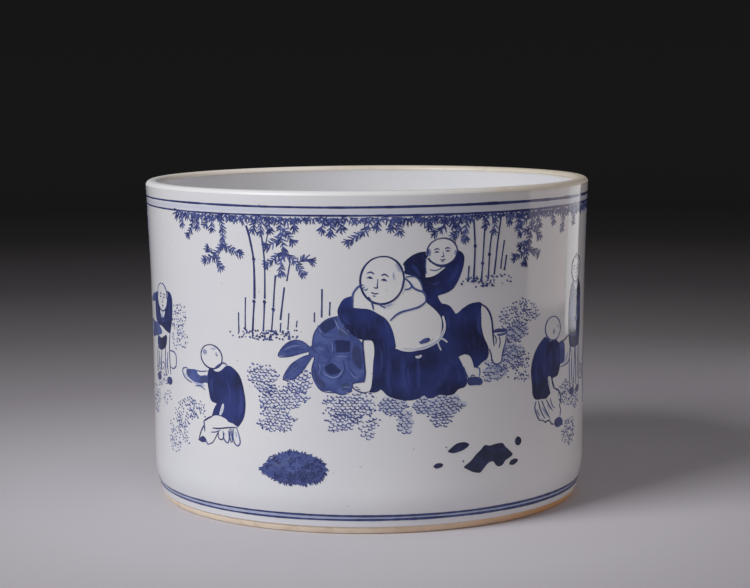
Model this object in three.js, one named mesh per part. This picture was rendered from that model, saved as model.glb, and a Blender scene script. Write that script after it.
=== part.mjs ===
// A porcelain brush pot: a short, wide cylinder that stands open on a writing desk and holds brushes upright.
// Millimetres, +Z up. The origin is the centre of the foot, on the surface that the pot stands on.
import * as THREE from "three";

// Overall sizes
const height = 135.9; // foot to lip
const rimRadius = 95; // outside, just under the lip
const rimFlare = 1.8; // how far the rim stands out past the waist
const waistHeight = 45; // where the wall starts to flare
const flarePower = 2.3;
const shoulderHeight = 17; // where the wall starts to round in to the foot
const shoulderArc = 30; // radius of that curve
const footHeight = 7; // where the curve gives way to the foot, which is a straight cone
const footSlope = 0.18; // and how fast the cone narrows

// Wall and lip
const wallThickness = 6.5; // over both coats of glaze
const lipThinning = 1; // what the wall loses by the lip
const lipRound = 2.2; // radius of the lip's two corners
const glazedTurn = Math.PI / 20; // how far each coat of glaze climbs round its corner

// Base
const floorHeight = 10; // inside floor above the foot
const coveRadius = 6; // inside corner between the wall and the floor
const toeWidth = 1.2; // flat of the wall's clay between the cove and the seam
const seamWidth = 0.8; // slip that lutes the base into the wall
const seamRecess = 0.5; // the slip stops short of the foot
const standingWidth = 15; // bare ring of the base that the pot stands on
const recessDepth = 2.4; // glazed centre of the underside, above the foot
const footBevel = 0.6; // on the edge of the recess
const footRound = 1.3; // on the outer edge

// Glaze, lip dressing and painted lines
const glazeThickness = 0.5;
const bareFoot = 3.3; // bare clay below the outer glaze
const lineThickness = 0.2; // cobalt-stained glass at the surface
const grooveFloor = 0.1; // room behind each line
const upperLines = [
  { name: "rim_line_upper", below: 6.15, width: 0.9 },
  { name: "rim_line_lower", below: 9.5, width: 0.8 },
]; // measured down from the lip
const lowerLines = [
  { name: "foot_line_lower", above: 6.1, width: 0.8 },
  { name: "foot_line_upper", above: 7.8, width: 0.8 },
]; // measured up from the foot
const seatGap = 0.1; // clearance between neighbours

// Fineness
const turns = 60; // facets round the pot
const lipSteps = 3;
const coveSteps = 4;

// Worked out from the sizes above
const lipStart = height - lipRound;
const waistRadius = rimRadius - rimFlare;
const clayDepth = glazeThickness + seatGap; // from a glazed surface in to the clay
const clayFloor = floorHeight - clayDepth;
const coveTop = floorHeight + coveRadius;
const wallFootRadius = waistRadius - wallThickness - coveRadius - toeWidth;
const baseRadius = wallFootRadius - seamWidth - 2 * seatGap;
const recessRadius = baseRadius - standingWidth;

// Share of the flare that the wall has reached at a height.
function flareShare(z) {
  return Math.max(0, (z - waistHeight) / (lipStart - waistHeight)) ** flarePower;
}

function outerRadius(z) {
  const drop = Math.min(Math.max(0, shoulderHeight - z), shoulderHeight - footHeight);
  const shoulder = shoulderArc - Math.sqrt(shoulderArc ** 2 - drop ** 2);
  const cone = footSlope * Math.max(0, footHeight - z);
  return waistRadius + rimFlare * flareShare(z) - shoulder - cone;
}

function innerRadius(z) {
  return waistRadius - wallThickness + (rimFlare + lipThinning) * flareShare(z);
}

function point(radius, z) {
  return new THREE.Vector2(radius, z);
}

// Heights from low to high, ends included, with the stations of the wall's curve that lie between them.
function heights(low, high) {
  const shoulder = [0, 0.35, 0.7, 1].map((share) => footHeight + share * (shoulderHeight - footHeight));
  const flare = [0, 0.4, 0.65, 0.85].map((share) => waistHeight + share * (lipStart - waistHeight));
  const between = [...shoulder, ...flare].filter((z) => z > low + 0.4 && z < high - 0.4);
  return [low, ...between, high];
}

// Points along a round corner: centre, radius, and two angles from +r towards +z.
function arc(centreRadius, centreZ, radius, from, to, steps) {
  return Array.from({ length: steps + 1 }, (_, i) => {
    const angle = from + ((to - from) * i) / steps;
    return point(centreRadius + radius * Math.cos(angle), centreZ + radius * Math.sin(angle));
  });
}

// The wall's outside, set in by depth.
function outside(low, high, depth) {
  return heights(low, high).map((z) => point(outerRadius(z) - depth, z));
}

// The lip's corners, set in by depth.
function outerCorner(depth, from, to, steps) {
  return arc(outerRadius(lipStart) - lipRound, lipStart, lipRound - depth, from, to, steps);
}

function innerCorner(depth, from, to, steps) {
  return arc(innerRadius(lipStart) + lipRound, lipStart, lipRound - depth, from, to, steps);
}

// The inside from the lip down to the end of the cove, set back into the clay by depth.
function inside(depth) {
  const wall = heights(coveTop, lipStart)
    .reverse()
    .map((z) => point(innerRadius(z) + depth, z));
  const centre = innerRadius(coveTop) - coveRadius;
  const cove = arc(centre, coveTop, coveRadius + depth, 0, -Math.PI / 2, coveSteps);
  return [...wall, ...cove.slice(1)];
}

// Turns a closed outline about the pot's axis, which three.js takes as Y and the mesh's rotation stands up.
function turned(name, outline, material) {
  const profile = THREE.ShapeUtils.area(outline) > 0 ? outline : [...outline].reverse();
  const onAxis = profile.findIndex((p, i) => p.x === 0 && profile[(i + 1) % profile.length].x === 0);
  const start = onAxis < 0 ? 0 : onAxis + 1;
  const ring = [...profile.slice(start), ...profile.slice(0, start)];
  if (onAxis < 0) ring.push(ring[0].clone());
  const mesh = new THREE.Mesh(new THREE.LatheGeometry(ring, turns), material);
  mesh.name = name;
  mesh.rotation.x = Math.PI / 2;
  return mesh;
}

const clay = new THREE.MeshStandardMaterial({ color: 0xe3cfae, roughness: 0.85, metalness: 0 });
const slip = new THREE.MeshStandardMaterial({ color: 0xd9c6a8, roughness: 0.9, metalness: 0 });
const glaze = new THREE.MeshStandardMaterial({ color: 0xe4e6ec, roughness: 0.12, metalness: 0 });
const dressing = new THREE.MeshStandardMaterial({ color: 0xd8c3a2, roughness: 0.5, metalness: 0 });
const cobalt = new THREE.MeshStandardMaterial({ color: 0x2a3a78, roughness: 0.15, metalness: 0 });

// The thrown wall, with its lip, its cove and the outer part of the foot.
function wallBody() {
  const outline = [
    point(wallFootRadius, 0),
    point(outerRadius(0) - clayDepth - footRound, 0),
    point(outerRadius(0) - clayDepth - 0.3 * footRound, 0.3 * footRound),
    ...outside(footRound, lipStart, clayDepth),
    ...outerCorner(clayDepth, 0, Math.PI / 2, lipSteps).slice(1),
    ...innerCorner(clayDepth, Math.PI / 2, Math.PI, lipSteps),
    ...inside(clayDepth).slice(1),
    point(wallFootRadius, clayFloor),
  ];
  return turned("wall_body", outline, clay);
}

// The slab that closes the wall. Its underside is a bare standing ring around a shallow recess.
function baseSlab() {
  const outline = [
    point(0, recessDepth),
    point(recessRadius, recessDepth),
    point(recessRadius + footBevel, 0),
    point(baseRadius, 0),
    point(baseRadius, clayFloor),
    point(0, clayFloor),
  ];
  return turned("base_slab", outline, clay);
}

// The ring of slip between the slab and the wall.
function luteSeam() {
  const inner = baseRadius + seatGap;
  const outline = [
    point(inner, seamRecess),
    point(inner + seamWidth, seamRecess),
    point(inner + seamWidth, clayFloor),
    point(inner, clayFloor),
  ];
  return turned("lute_seam", outline, slip);
}

// Every painted line as the heights of its two edges, from the foot up.
const lines = [
  ...lowerLines.map(({ name, above, width }) => ({ name, low: above - width / 2, high: above + width / 2 })),
  ...upperLines
    .map(({ name, below, width }) => ({ name, low: height - below - width / 2, high: height - below + width / 2 }))
    .reverse(),
];

// The outer coat, from just above the foot to part of the way round the lip, with a groove for each line.
function outerGlaze() {
  const grooveDepth = lineThickness + grooveFloor;
  const face = [];
  let from = bareFoot;
  for (const { low, high } of lines) {
    const [start, end] = [low - seatGap, high + seatGap];
    face.push(...outside(from, start, 0));
    face.push(point(outerRadius(start) - grooveDepth, start), point(outerRadius(end) - grooveDepth, end));
    from = end;
  }
  face.push(...outside(from, lipStart, 0), ...outerCorner(0, 0, glazedTurn, lipSteps).slice(1));
  const back = [
    ...outside(bareFoot, lipStart, glazeThickness),
    ...outerCorner(glazeThickness, 0, glazedTurn, lipSteps).slice(1),
  ];
  return turned("outer_glaze", [...face, ...back.reverse()], glaze);
}

// A painted line: a thin ring of blue glass, flush with the outer coat.
function paintedLine({ name, low, high }) {
  const outline = [
    point(outerRadius(low), low),
    point(outerRadius(high), high),
    point(outerRadius(high) - lineThickness, high),
    point(outerRadius(low) - lineThickness, low),
  ];
  return turned(name, outline, cobalt);
}

// The inner coat, over the wall, the cove and the floor.
function innerGlaze() {
  const face = [...innerCorner(0, Math.PI - glazedTurn, Math.PI, lipSteps), ...inside(0).slice(1)];
  const back = [
    ...innerCorner(glazeThickness, Math.PI - glazedTurn, Math.PI, lipSteps),
    ...inside(glazeThickness).slice(1),
  ];
  const outline = [
    ...face,
    point(0, floorHeight),
    point(0, floorHeight - glazeThickness),
    ...back.reverse(),
  ];
  return turned("inner_glaze", outline, glaze);
}

// The dressing on the lip, between the edges of the two coats.
function lipDressing() {
  const edge = glazedTurn + seatGap / lipRound;
  const over = (depth) => [
    ...outerCorner(depth, edge, Math.PI / 2, lipSteps),
    ...innerCorner(depth, Math.PI / 2, Math.PI - edge, lipSteps),
  ];
  return turned("lip_dressing", [...over(0), ...over(glazeThickness).reverse()], dressing);
}

// The coat in the recess under the base.
function underGlaze() {
  const top = recessDepth - seatGap;
  const edge = recessRadius - 2 * seatGap;
  const outline = [
    point(0, top - glazeThickness),
    point(edge, top - glazeThickness),
    point(edge, top),
    point(0, top),
  ];
  return turned("under_glaze", outline, glaze);
}

const brushPot = new THREE.Group();
brushPot.name = "brush_pot";
brushPot.add(
  wallBody(),
  baseSlab(),
  luteSeam(),
  outerGlaze(),
  innerGlaze(),
  underGlaze(),
  lipDressing(),
  ...lines.map(paintedLine),
);

export default brushPot;
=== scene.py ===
# A porcelain brush pot: a wide, low cylinder painted in cobalt blue under a clear glaze.
# The scene is in metres. Sizes of the pot and of its painting are in millimetres, times mm.
import bmesh
import bpy
import random
from math import atan2, ceil, cos, hypot, pi, radians, sin, sqrt
from mathutils import Euler, Matrix, Vector, noise
from mathutils.geometry import interpolate_bezier


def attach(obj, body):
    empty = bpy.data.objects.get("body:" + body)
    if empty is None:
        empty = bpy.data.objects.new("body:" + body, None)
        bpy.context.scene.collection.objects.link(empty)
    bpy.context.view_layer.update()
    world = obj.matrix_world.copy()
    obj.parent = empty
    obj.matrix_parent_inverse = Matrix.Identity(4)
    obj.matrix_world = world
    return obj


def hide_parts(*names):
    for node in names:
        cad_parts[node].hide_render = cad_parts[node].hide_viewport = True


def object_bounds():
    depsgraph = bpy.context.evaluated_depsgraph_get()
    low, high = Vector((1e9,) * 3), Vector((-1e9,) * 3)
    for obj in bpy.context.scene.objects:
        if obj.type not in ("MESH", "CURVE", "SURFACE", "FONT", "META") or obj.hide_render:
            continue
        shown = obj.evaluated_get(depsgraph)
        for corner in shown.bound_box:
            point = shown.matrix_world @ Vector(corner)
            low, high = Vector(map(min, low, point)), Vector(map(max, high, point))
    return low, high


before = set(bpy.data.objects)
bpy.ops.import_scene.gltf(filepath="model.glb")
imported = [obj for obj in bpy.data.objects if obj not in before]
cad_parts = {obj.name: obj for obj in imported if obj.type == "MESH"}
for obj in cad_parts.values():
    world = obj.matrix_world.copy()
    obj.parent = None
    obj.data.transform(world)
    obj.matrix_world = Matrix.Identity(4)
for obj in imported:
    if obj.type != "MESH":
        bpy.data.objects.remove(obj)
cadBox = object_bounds()
mm = 0.001
print("frame loaded")


class Value:
    # a socket of a shader, with arithmetic that adds Math nodes
    def __init__(self, shader, socket):
        self.shader = shader
        self.socket = socket

    def calculate(self, operation, *terms):
        return self.shader.add("Math", {"operation": operation}, dict(enumerate(terms)))

    def __add__(self, other):
        return self.calculate("ADD", self, other)

    def __radd__(self, other):
        return self.calculate("ADD", other, self)

    def __sub__(self, other):
        return self.calculate("SUBTRACT", self, other)

    def __rsub__(self, other):
        return self.calculate("SUBTRACT", other, self)

    def __mul__(self, other):
        return self.calculate("MULTIPLY", self, other)

    def __rmul__(self, other):
        return self.calculate("MULTIPLY", other, self)

    def __truediv__(self, other):
        return self.calculate("DIVIDE", self, other)

    def __rtruediv__(self, other):
        return self.calculate("DIVIDE", other, self)

    def __pow__(self, other):
        return self.calculate("POWER", self, other)

    def __rpow__(self, other):
        return self.calculate("POWER", other, self)


class Shader:
    # a material and the nodes put in it
    def __init__(self, name):
        self.material = bpy.data.materials.new(name)
        self.material.use_nodes = True
        self.tree = self.material.node_tree
        self.tree.nodes.clear()

    def add(self, kind, settings={}, inputs={}, output=0):
        # a node with its settings, or a ramp's stops, set before the values and links of its sockets
        node = self.tree.nodes.new("ShaderNode" + kind)
        for key, value in settings.items():
            if key == "stops":
                ramp = node.color_ramp.elements
                while len(ramp) < len(value):
                    ramp.new(0.5)
                for stop, (place, colour) in zip(ramp, value):
                    stop.position = place
                    stop.color = (*colour, 1)
            else:
                setattr(node, key, value)
        for key, value in inputs.items():
            if isinstance(value, Value):
                self.tree.links.new(value.socket, node.inputs[key])
            else:
                node.inputs[key].default_value = value
        return Value(self, node.outputs[output]) if node.outputs else node

    def mix(self, share, first, second):
        colours = [(*c, 1) if isinstance(c, tuple) else c for c in (first, second)]
        return self.add("Mix", {"data_type": "RGBA"}, {0: share, 6: colours[0], 7: colours[1]}, 2)

    def band(self, value, low, high):
        # 0 below low, 1 above high, smooth between
        return self.add("MapRange", {"interpolation_type": "SMOOTHSTEP"},
                        {"Value": value, "From Min": low, "From Max": high})

    def place(self):
        return self.add("TexCoord", output=3)

    def parts(self, where):
        # x, y and z
        return [self.add("SeparateXYZ", {}, {0: where}, i) for i in range(3)]

    def stretched(self, where, scale):
        return self.add("Mapping", {}, {"Vector": where, "Scale": scale})

    def cloud(self, where, size, detail=3, rough=0.5):
        # noise whose lumps are about size millimetres across
        inputs = {"Vector": where, "Scale": 1 / (size * mm), "Detail": detail, "Roughness": rough}
        return self.add("TexNoise", {}, inputs)

    def finish(self, colour, roughness, bump=None, depth=0.0, **sockets):
        # the principled surface, with bump heights in millimetres
        inputs = {"Base Color": colour, "Roughness": roughness}
        inputs.update({name.replace("_", " "): value for name, value in sockets.items()})
        if bump:
            inputs["Normal"] = self.add("Bump", {}, {"Height": bump, "Distance": depth * mm})
        surface = self.add("BsdfPrincipled", {}, inputs)
        self.add("OutputMaterial", {}, {"Surface": surface})
        return self.material


pot = {
    "height": cadBox[1].z / mm,
    "rimRadius": cadBox[1].x / mm,
    "rimFlare": 1.8,  # how far the rim stands out past the waist
    "waistHeight": 45,  # where the wall starts to flare
    "flarePower": 2.3,
    "shoulderHeight": 17,  # where the wall starts to round in to the foot
    "shoulderArc": 30,  # radius of that curve
    "footHeight": 7,  # where the curve gives way to the foot's straight cone
    "footSlope": 0.18,  # and how fast the cone narrows
    "wall": 6.5,  # thickness over both coats of glaze
    "lipThinning": 1,  # what the wall loses by the lip
    "lipRound": 2.2,  # radius of the lip's two corners
    "glazedTurn": pi / 20,  # how far each coat of glaze climbs round its corner
    "floorHeight": 10,
    "cove": 6,  # inside corner between the wall and the floor
    "toe": 1.2,  # flat of the wall's clay between the cove and the seam
    "seam": 0.8,  # width of the slip that lutes the base into the wall
    "seamRecess": 0.5,  # the slip stops short of the foot
    "seamHollow": 0.8,  # and further short in its middle
    "standing": 15,  # bare ring that the pot stands on
    "recess": 2.4,  # glazed centre of the underside, above the foot
    "footBevel": 0.6,  # on the edge of the recess
    "footRound": 1.3,  # on the outer edge
    "glaze": 0.5,
    "bareFoot": 3.3,  # bare clay below the outer glaze
    "gap": 0.1,  # between neighbours
    "segments": 180,  # round the pot
    "outsideStep": 2.5,  # between stations of the wall's outside
    "insideStep": 4,  # and of its inside
    "cornerSteps": 8,
    "smoothTo": 40,  # degrees between faces that still look smooth
}
throwing = {
    "oval": 0.10,  # how far the wall is out of round
    "lobes": 0.05,  # and how far it leans to three sides
    "rings": 0.018,  # depth of the rings that the fingers left
    "coarse": 4.1,  # the rings' spacing is a coarse wave
    "fine": 2.3,  # with a fine one on it
}
lipStart = pot["height"] - pot["lipRound"]
waistRadius = pot["rimRadius"] - pot["rimFlare"]
clayDepth = pot["glaze"] + pot["gap"]
clayFloor = pot["floorHeight"] - clayDepth
coveTop = pot["floorHeight"] + pot["cove"]
wallFoot = waistRadius - pot["wall"] - pot["cove"] - pot["toe"]
baseRadius = wallFoot - pot["seam"] - 2 * pot["gap"]
recessRadius = baseRadius - pot["standing"]


def flareShare(z):
    return max(0, (z - pot["waistHeight"]) / (lipStart - pot["waistHeight"])) ** pot["flarePower"]


def outerRadius(z):
    drop = min(max(0, pot["shoulderHeight"] - z), pot["shoulderHeight"] - pot["footHeight"])
    shoulder = pot["shoulderArc"] - sqrt(pot["shoulderArc"] ** 2 - drop ** 2)
    cone = pot["footSlope"] * max(0, pot["footHeight"] - z)
    return waistRadius + pot["rimFlare"] * flareShare(z) - shoulder - cone


def innerRadius(z):
    return waistRadius - pot["wall"] + (pot["rimFlare"] + pot["lipThinning"]) * flareShare(z)


def thrown(angle, z):
    # what the potter's hands left on the wall: a little out of round, with faint rings
    rings = sin(z / throwing["coarse"] + 0.5 * sin(angle)) + 0.6 * sin(z / throwing["fine"] + 1.3)
    oval = throwing["oval"] * sin(2 * angle + 0.7 + z / 70)
    return oval + throwing["lobes"] * sin(3 * angle + z / 31) + throwing["rings"] * rings


def arc(centre, radius, start, end, steps):
    # points of a round corner of a profile, with angles from outwards towards up
    turns = [start + (end - start) * i / steps for i in range(steps + 1)]
    return [(centre[0] + radius * cos(t), centre[1] + radius * sin(t)) for t in turns]


def outside(low, high, depth):
    # up the wall's outside, set in by depth
    count = max(2, round((high - low) / pot["outsideStep"]))
    heights = [low + (high - low) * i / count for i in range(count + 1)]
    if low < pot["footHeight"] < high:
        heights += [pot["footHeight"] + rise for rise in (-0.8, 0, 1.2)]
    return [(outerRadius(z) - depth, z) for z in sorted(heights)]


def outerCorner(depth, start, end):
    centre = (outerRadius(lipStart) - pot["lipRound"], lipStart)
    return arc(centre, pot["lipRound"] - depth, start, end, pot["cornerSteps"])


def innerCorner(depth, start, end):
    centre = (innerRadius(lipStart) + pot["lipRound"], lipStart)
    return arc(centre, pot["lipRound"] - depth, start, end, pot["cornerSteps"])


def inside(depth):
    # down the inner wall and round the cove to the floor
    count = round((lipStart - coveTop) / pot["insideStep"])
    heights = [lipStart + (coveTop - lipStart) * i / count for i in range(count + 1)]
    wall = [(innerRadius(z) + depth, z) for z in heights]
    centre = (innerRadius(coveTop) - pot["cove"], coveTop)
    return wall + arc(centre, pot["cove"] + depth, 0, -pi / 2, 12)[1:]


def wobble(mesh):
    # the middle of the floor and the standing edge stay true
    for vert in mesh.verts:
        angle = atan2(vert.co.x, -vert.co.y)
        radius = hypot(vert.co.x, vert.co.y) / mm
        if radius > 1:
            share = min(1, radius / recessRadius) * min(1, vert.co.z / mm / 4)
            grown = 1 + share * thrown(angle, vert.co.z / mm) / radius
            vert.co.x *= grown
            vert.co.y *= grown


def keep(name, mesh, materials, nodes):
    # the finished piece, riding on the pot's one body
    data = bpy.data.meshes.new(name)
    mesh.to_mesh(data)
    mesh.free()
    piece = bpy.data.objects.new(name, data)
    bpy.context.scene.collection.objects.link(piece)
    for material in materials:
        data.materials.append(material)
    data.shade_smooth()
    data.set_sharp_from_angle(angle=radians(pot["smoothTo"]))
    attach(piece, "root")
    if nodes:
        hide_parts(*nodes)
    return piece


def spun(name, profile, slot, node):
    # a profile of (radius, height) turned about the pot's axis, closed on itself or on the axis
    mesh = bmesh.new()
    ring = [mesh.verts.new((r * mm, 0, z * mm)) for r, z in profile]
    edges = [mesh.edges.new(pair) for pair in zip(ring, ring[1:])]
    if profile[0][0] > 0 or profile[-1][0] > 0:
        edges.append(mesh.edges.new((ring[-1], ring[0])))
    bmesh.ops.spin(mesh, geom=ring + edges, cent=(0, 0, 0), axis=(0, 0, 1), angle=2 * pi,
                   steps=pot["segments"], use_merge=True)
    bmesh.ops.remove_doubles(mesh, verts=mesh.verts, dist=1e-7)
    bmesh.ops.recalc_face_normals(mesh, faces=mesh.faces)
    wobble(mesh)
    return keep(name, mesh, [finishes[slot]], [node])


glazeLook = {
    "thick": (0.70, 0.705, 0.745),
    "thin": (0.74, 0.74, 0.76),
    "clouded": (0.69, 0.705, 0.755),
    "speck": (0.30, 0.22, 0.15),
    "stain": (0.62, 0.54, 0.44),  # buff that runs a little way in from the lip
    "stainFrom": 2.6,  # below the lip
    "stainTo": 0.4,
    "roughness": 0.09,
    "ior": 1.5,
    "peel": 2.2,  # size of the faint orange peel
    "peelDepth": 0.012,
}
clayLook = {
    "buff": (0.90, 0.77, 0.61),
    "flashedAndShaded": (0.72, 0.38, 0.17),  # orange from the kiln, and partly painted shade: it lies heaviest on the right side, which is in shade
    "mottled": (0.68, 0.50, 0.34),
    "grit": (0.22, 0.13, 0.07),
    "roughness": 0.82,
    "ior": 1.45,
    "depth": 0.06,
}
slipLook = {"pale": (0.55, 0.42, 0.29), "dark": (0.38, 0.26, 0.16), "roughness": 0.9, "depth": 0.08}
dressingLook = {
    "clean": (0.73, 0.73, 0.745),
    "worn": (0.68, 0.61, 0.51),
    "brown": (0.56, 0.46, 0.34),
    # painted light: a paler colour that lightens the lip's back left, standing in for light falling there
    "thin": (0.93, 0.87, 0.78),
    "roughness": 0.42,
    "depth": 0.03,
    "ior": 1.5,
}


def glazeColour(shader):
    # bluish white, with slow clouds where the coat is thicker or thinner
    where = shader.place()
    clouds = shader.cloud(where, 60, 2)
    fine = shader.cloud(where, 9, 3)
    body = shader.mix(shader.band(clouds, 0.35, 0.7), glazeLook["thick"], glazeLook["thin"])
    return shader.mix(shader.band(fine, 0.5, 0.8) * 0.25, body, glazeLook["clouded"])


def glazed(shader, colour):
    # a colour in or under the fired glaze
    peel = shader.cloud(shader.place(), glazeLook["peel"], 1, 0.4)
    return shader.finish(colour, glazeLook["roughness"], peel, glazeLook["peelDepth"], IOR=glazeLook["ior"])


def clearGlaze():
    shader = Shader("clearGlaze")
    where = shader.place()
    specks = shader.band(shader.cloud(where, 1.6, 1, 0.4), 0.79, 0.82)
    colour = shader.mix(specks * 0.6, glazeColour(shader), glazeLook["speck"])
    # the stain is all round but for the front left
    parts = shader.parts(where)
    along = (parts[0] + parts[1]) / (pot["rimRadius"] * mm)
    ragged = shader.cloud(where, 14, 3) * (1.6 * mm)
    low = (pot["height"] - glazeLook["stainFrom"]) * mm
    high = (pot["height"] - glazeLook["stainTo"]) * mm
    stain = shader.band(parts[2] + ragged, low, high)
    patchy = shader.band(along + shader.cloud(where, 45, 2), -0.2, 0.8)
    colour = shader.mix(stain * patchy * 0.7, colour, glazeLook["stain"])
    return glazed(shader, colour)


def biscuitClay():
    shader = Shader("biscuitClay")
    where = shader.place()
    broad = shader.cloud(where, 90, 2)
    grit = shader.cloud(where, 0.9, 3, 0.7)
    mottle = shader.cloud(where, 6, 4, 0.6)
    # partly painted shade: besides the kiln's own flashing, the orange grows towards the right side,
    # standing in for that side's shade and warm light
    side = shader.parts(where)[0] * (0.5 / (pot["rimRadius"] * mm)) + 0.5
    flashAndShade = shader.band(side * 0.7 + broad * 0.6, 0.62, 1.0)
    colour = shader.mix(flashAndShade, clayLook["buff"], clayLook["flashedAndShaded"])
    colour = shader.mix(shader.band(mottle, 0.45, 0.7) * 0.4, colour, clayLook["mottled"])
    colour = shader.mix(shader.band(grit, 0.62, 0.75) * 0.35, colour, clayLook["grit"])
    grain = grit + mottle
    return shader.finish(colour, clayLook["roughness"], grain, clayLook["depth"], IOR=clayLook["ior"])


def lutingSlip():
    shader = Shader("lutingSlip")
    grit = shader.cloud(shader.place(), 0.7, 3, 0.7)
    colour = shader.mix(shader.band(grit, 0.4, 0.7), slipLook["pale"], slipLook["dark"])
    return shader.finish(colour, slipLook["roughness"], grit, slipLook["depth"])


def lipDressing():
    # thin buff dressing, clean at the front left and worn brown elsewhere, with painted light that makes it
    # palest at the back left
    shader = Shader("lipDressing")
    where = shader.place()
    mottle = shader.cloud(where, 5, 4, 0.6)
    parts = shader.parts(where)
    along = (parts[0] + parts[1]) / (pot["rimRadius"] * mm)
    worn = shader.band(along + shader.cloud(where, 30, 3) * 0.7, -0.85, 0.75)
    colour = shader.mix(worn, dressingLook["clean"], dressingLook["worn"])
    colour = shader.mix(worn * shader.band(mottle, 0.45, 0.75) * 0.5, colour, dressingLook["brown"])
    # painted light: the back left of the lip is lightened towards the paler colour
    across = (parts[1] - parts[0]) / (pot["rimRadius"] * mm)
    colour = shader.mix(shader.band(across, 0.95, 1.35), colour, dressingLook["thin"])
    rough, depth = dressingLook["roughness"], dressingLook["depth"]
    return shader.finish(colour, rough, mottle, depth, IOR=dressingLook["ior"])


finishes = {
    "clear_glaze": clearGlaze(),
    "biscuit_clay": biscuitClay(),
    "luting_slip": lutingSlip(),
    "lip_dressing": lipDressing(),
}
print("finishes made")


def wallBody():
    depth = clayDepth
    toe = (outerRadius(0) - depth - pot["footRound"], pot["footRound"])
    profile = [
        (wallFoot, 0),
        *arc(toe, pot["footRound"], -pi / 2, -0.2, 6),
        *outside(pot["footRound"], lipStart, depth),
        *outerCorner(depth, 0, pi / 2)[1:],
        *innerCorner(depth, pi / 2, pi),
        *inside(depth)[1:],
        (wallFoot, clayFloor),
    ]
    spun("wallBody", profile, "biscuit_clay", "wall_body")


def baseSlab():
    profile = [
        (0, pot["recess"]),
        (recessRadius, pot["recess"]),
        (recessRadius + pot["footBevel"], 0),
        (baseRadius, 0),
        (baseRadius, clayFloor),
        (0, clayFloor),
    ]
    spun("baseSlab", profile, "biscuit_clay", "base_slab")


def luteSeam():
    inner = baseRadius + pot["gap"]
    profile = [
        (inner, pot["seamRecess"]),
        (inner + pot["seam"] / 2, pot["seamHollow"]),
        (inner + pot["seam"], pot["seamRecess"]),
        (inner + pot["seam"], clayFloor),
        (inner, clayFloor),
    ]
    spun("luteSeam", profile, "luting_slip", "lute_seam")


def outerGlaze():
    # its lower edge is rolled where the molten coat stopped
    depth = pot["glaze"]
    low = pot["bareFoot"]
    roll = arc((outerRadius(low) - depth / 2, low), depth / 2, -pi, 0, 6)
    face = outside(low, lipStart, 0)[1:] + outerCorner(0, 0, pot["glazedTurn"])[1:]
    back = outside(low, lipStart, depth)[1:] + outerCorner(depth, 0, pot["glazedTurn"])[1:]
    spun("outerGlaze", roll + face + back[::-1], "clear_glaze", "outer_glaze")


def innerGlaze():
    depth = pot["glaze"]
    turn = pi - pot["glazedTurn"]
    face = innerCorner(0, turn, pi) + inside(0)[1:]
    back = innerCorner(depth, turn, pi) + inside(depth)[1:]
    floor = [(0, pot["floorHeight"]), (0, pot["floorHeight"] - depth)]
    profile = floor[1:] + back[::-1] + face + floor[:1]
    spun("innerGlaze", profile, "clear_glaze", "inner_glaze")


def underGlaze():
    top = pot["recess"] - pot["gap"]
    edge = recessRadius - 2 * pot["gap"]
    profile = [(0, top - pot["glaze"]), (edge, top - pot["glaze"]), (edge, top), (0, top)]
    spun("underGlaze", profile, "clear_glaze", "under_glaze")


def lipDressingRing():
    start = pot["glazedTurn"] + pot["gap"] / pot["lipRound"] / 2

    def over(depth):
        return outerCorner(depth, start, pi / 2) + innerCorner(depth, pi / 2, pi - start)

    profile = over(0) + over(pot["glaze"])[::-1]
    spun("lipDressing", profile, "lip_dressing", "lip_dressing")


wallBody()
baseSlab()
luteSeam()
outerGlaze()
innerGlaze()
underGlaze()
lipDressingRing()
print("pot turned")

brush = {
    "layer": 0.025,  # each layer of paint stands this far above the one under it
    "root": 0.05,  # and its underside is sunk this far in the glaze
    "cell": 1.6,  # longest facet round the wall, so that the paint follows it
    "tallCell": 5,  # and up the wall
    "tall": 1.0063,  # the whole drawing is stretched this much up the wall
    "round": -0.45,  # and moved this far round it
    "tremble": 0.18,  # share by which a stroke's width wanders
    "facing": 0.8,  # a face that points this nearly out of the wall is shaded as the wall is
}


def wallPoint(u, z, lift):
    # u is measured round the wall from the middle of the front, to the right
    angle = u / waistRadius
    radius = (outerRadius(z) + thrown(angle, z) * min(1, z / 4) + lift) * mm
    return Vector((radius * sin(angle), -radius * cos(angle), z * mm))


def wallNormal(u, z):
    along = wallPoint(u + 0.2, z, 0) - wallPoint(u - 0.2, z, 0)
    up = wallPoint(u, z + 0.2, 0) - wallPoint(u, z - 0.2, 0)
    return along.cross(up).normalized()


def curveThrough(points, step, closed=False):
    # a smooth line through the points, with a corner wherever a point is written twice
    knots = [Vector((*p, 0)) for p in points]
    count = len(knots)
    path = []
    for i in range(count if closed else count - 1):
        around = [j % count if closed else min(max(j, 0), count - 1) for j in range(i - 1, i + 3)]
        before, start, end, after = [knots[j] for j in around]
        if (end - start).length > 1e-6:
            pieces = ceil((end - start).length / step) + 1
            leave, arrive = start + (end - before) / 6, end - (after - start) / 6
            path += interpolate_bezier(start, leave, arrive, end, max(3, pieces))[:-1]
    return path if closed else path + [knots[-1]]


def spread(values, share):
    # the value at a share of the way along a list, or the one value that holds all along
    if not isinstance(values, (list, tuple)):
        return values
    place = share * (len(values) - 1)
    low = min(int(place), len(values) - 2)
    return values[low] + (values[low + 1] - values[low]) * (place - low)


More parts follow.
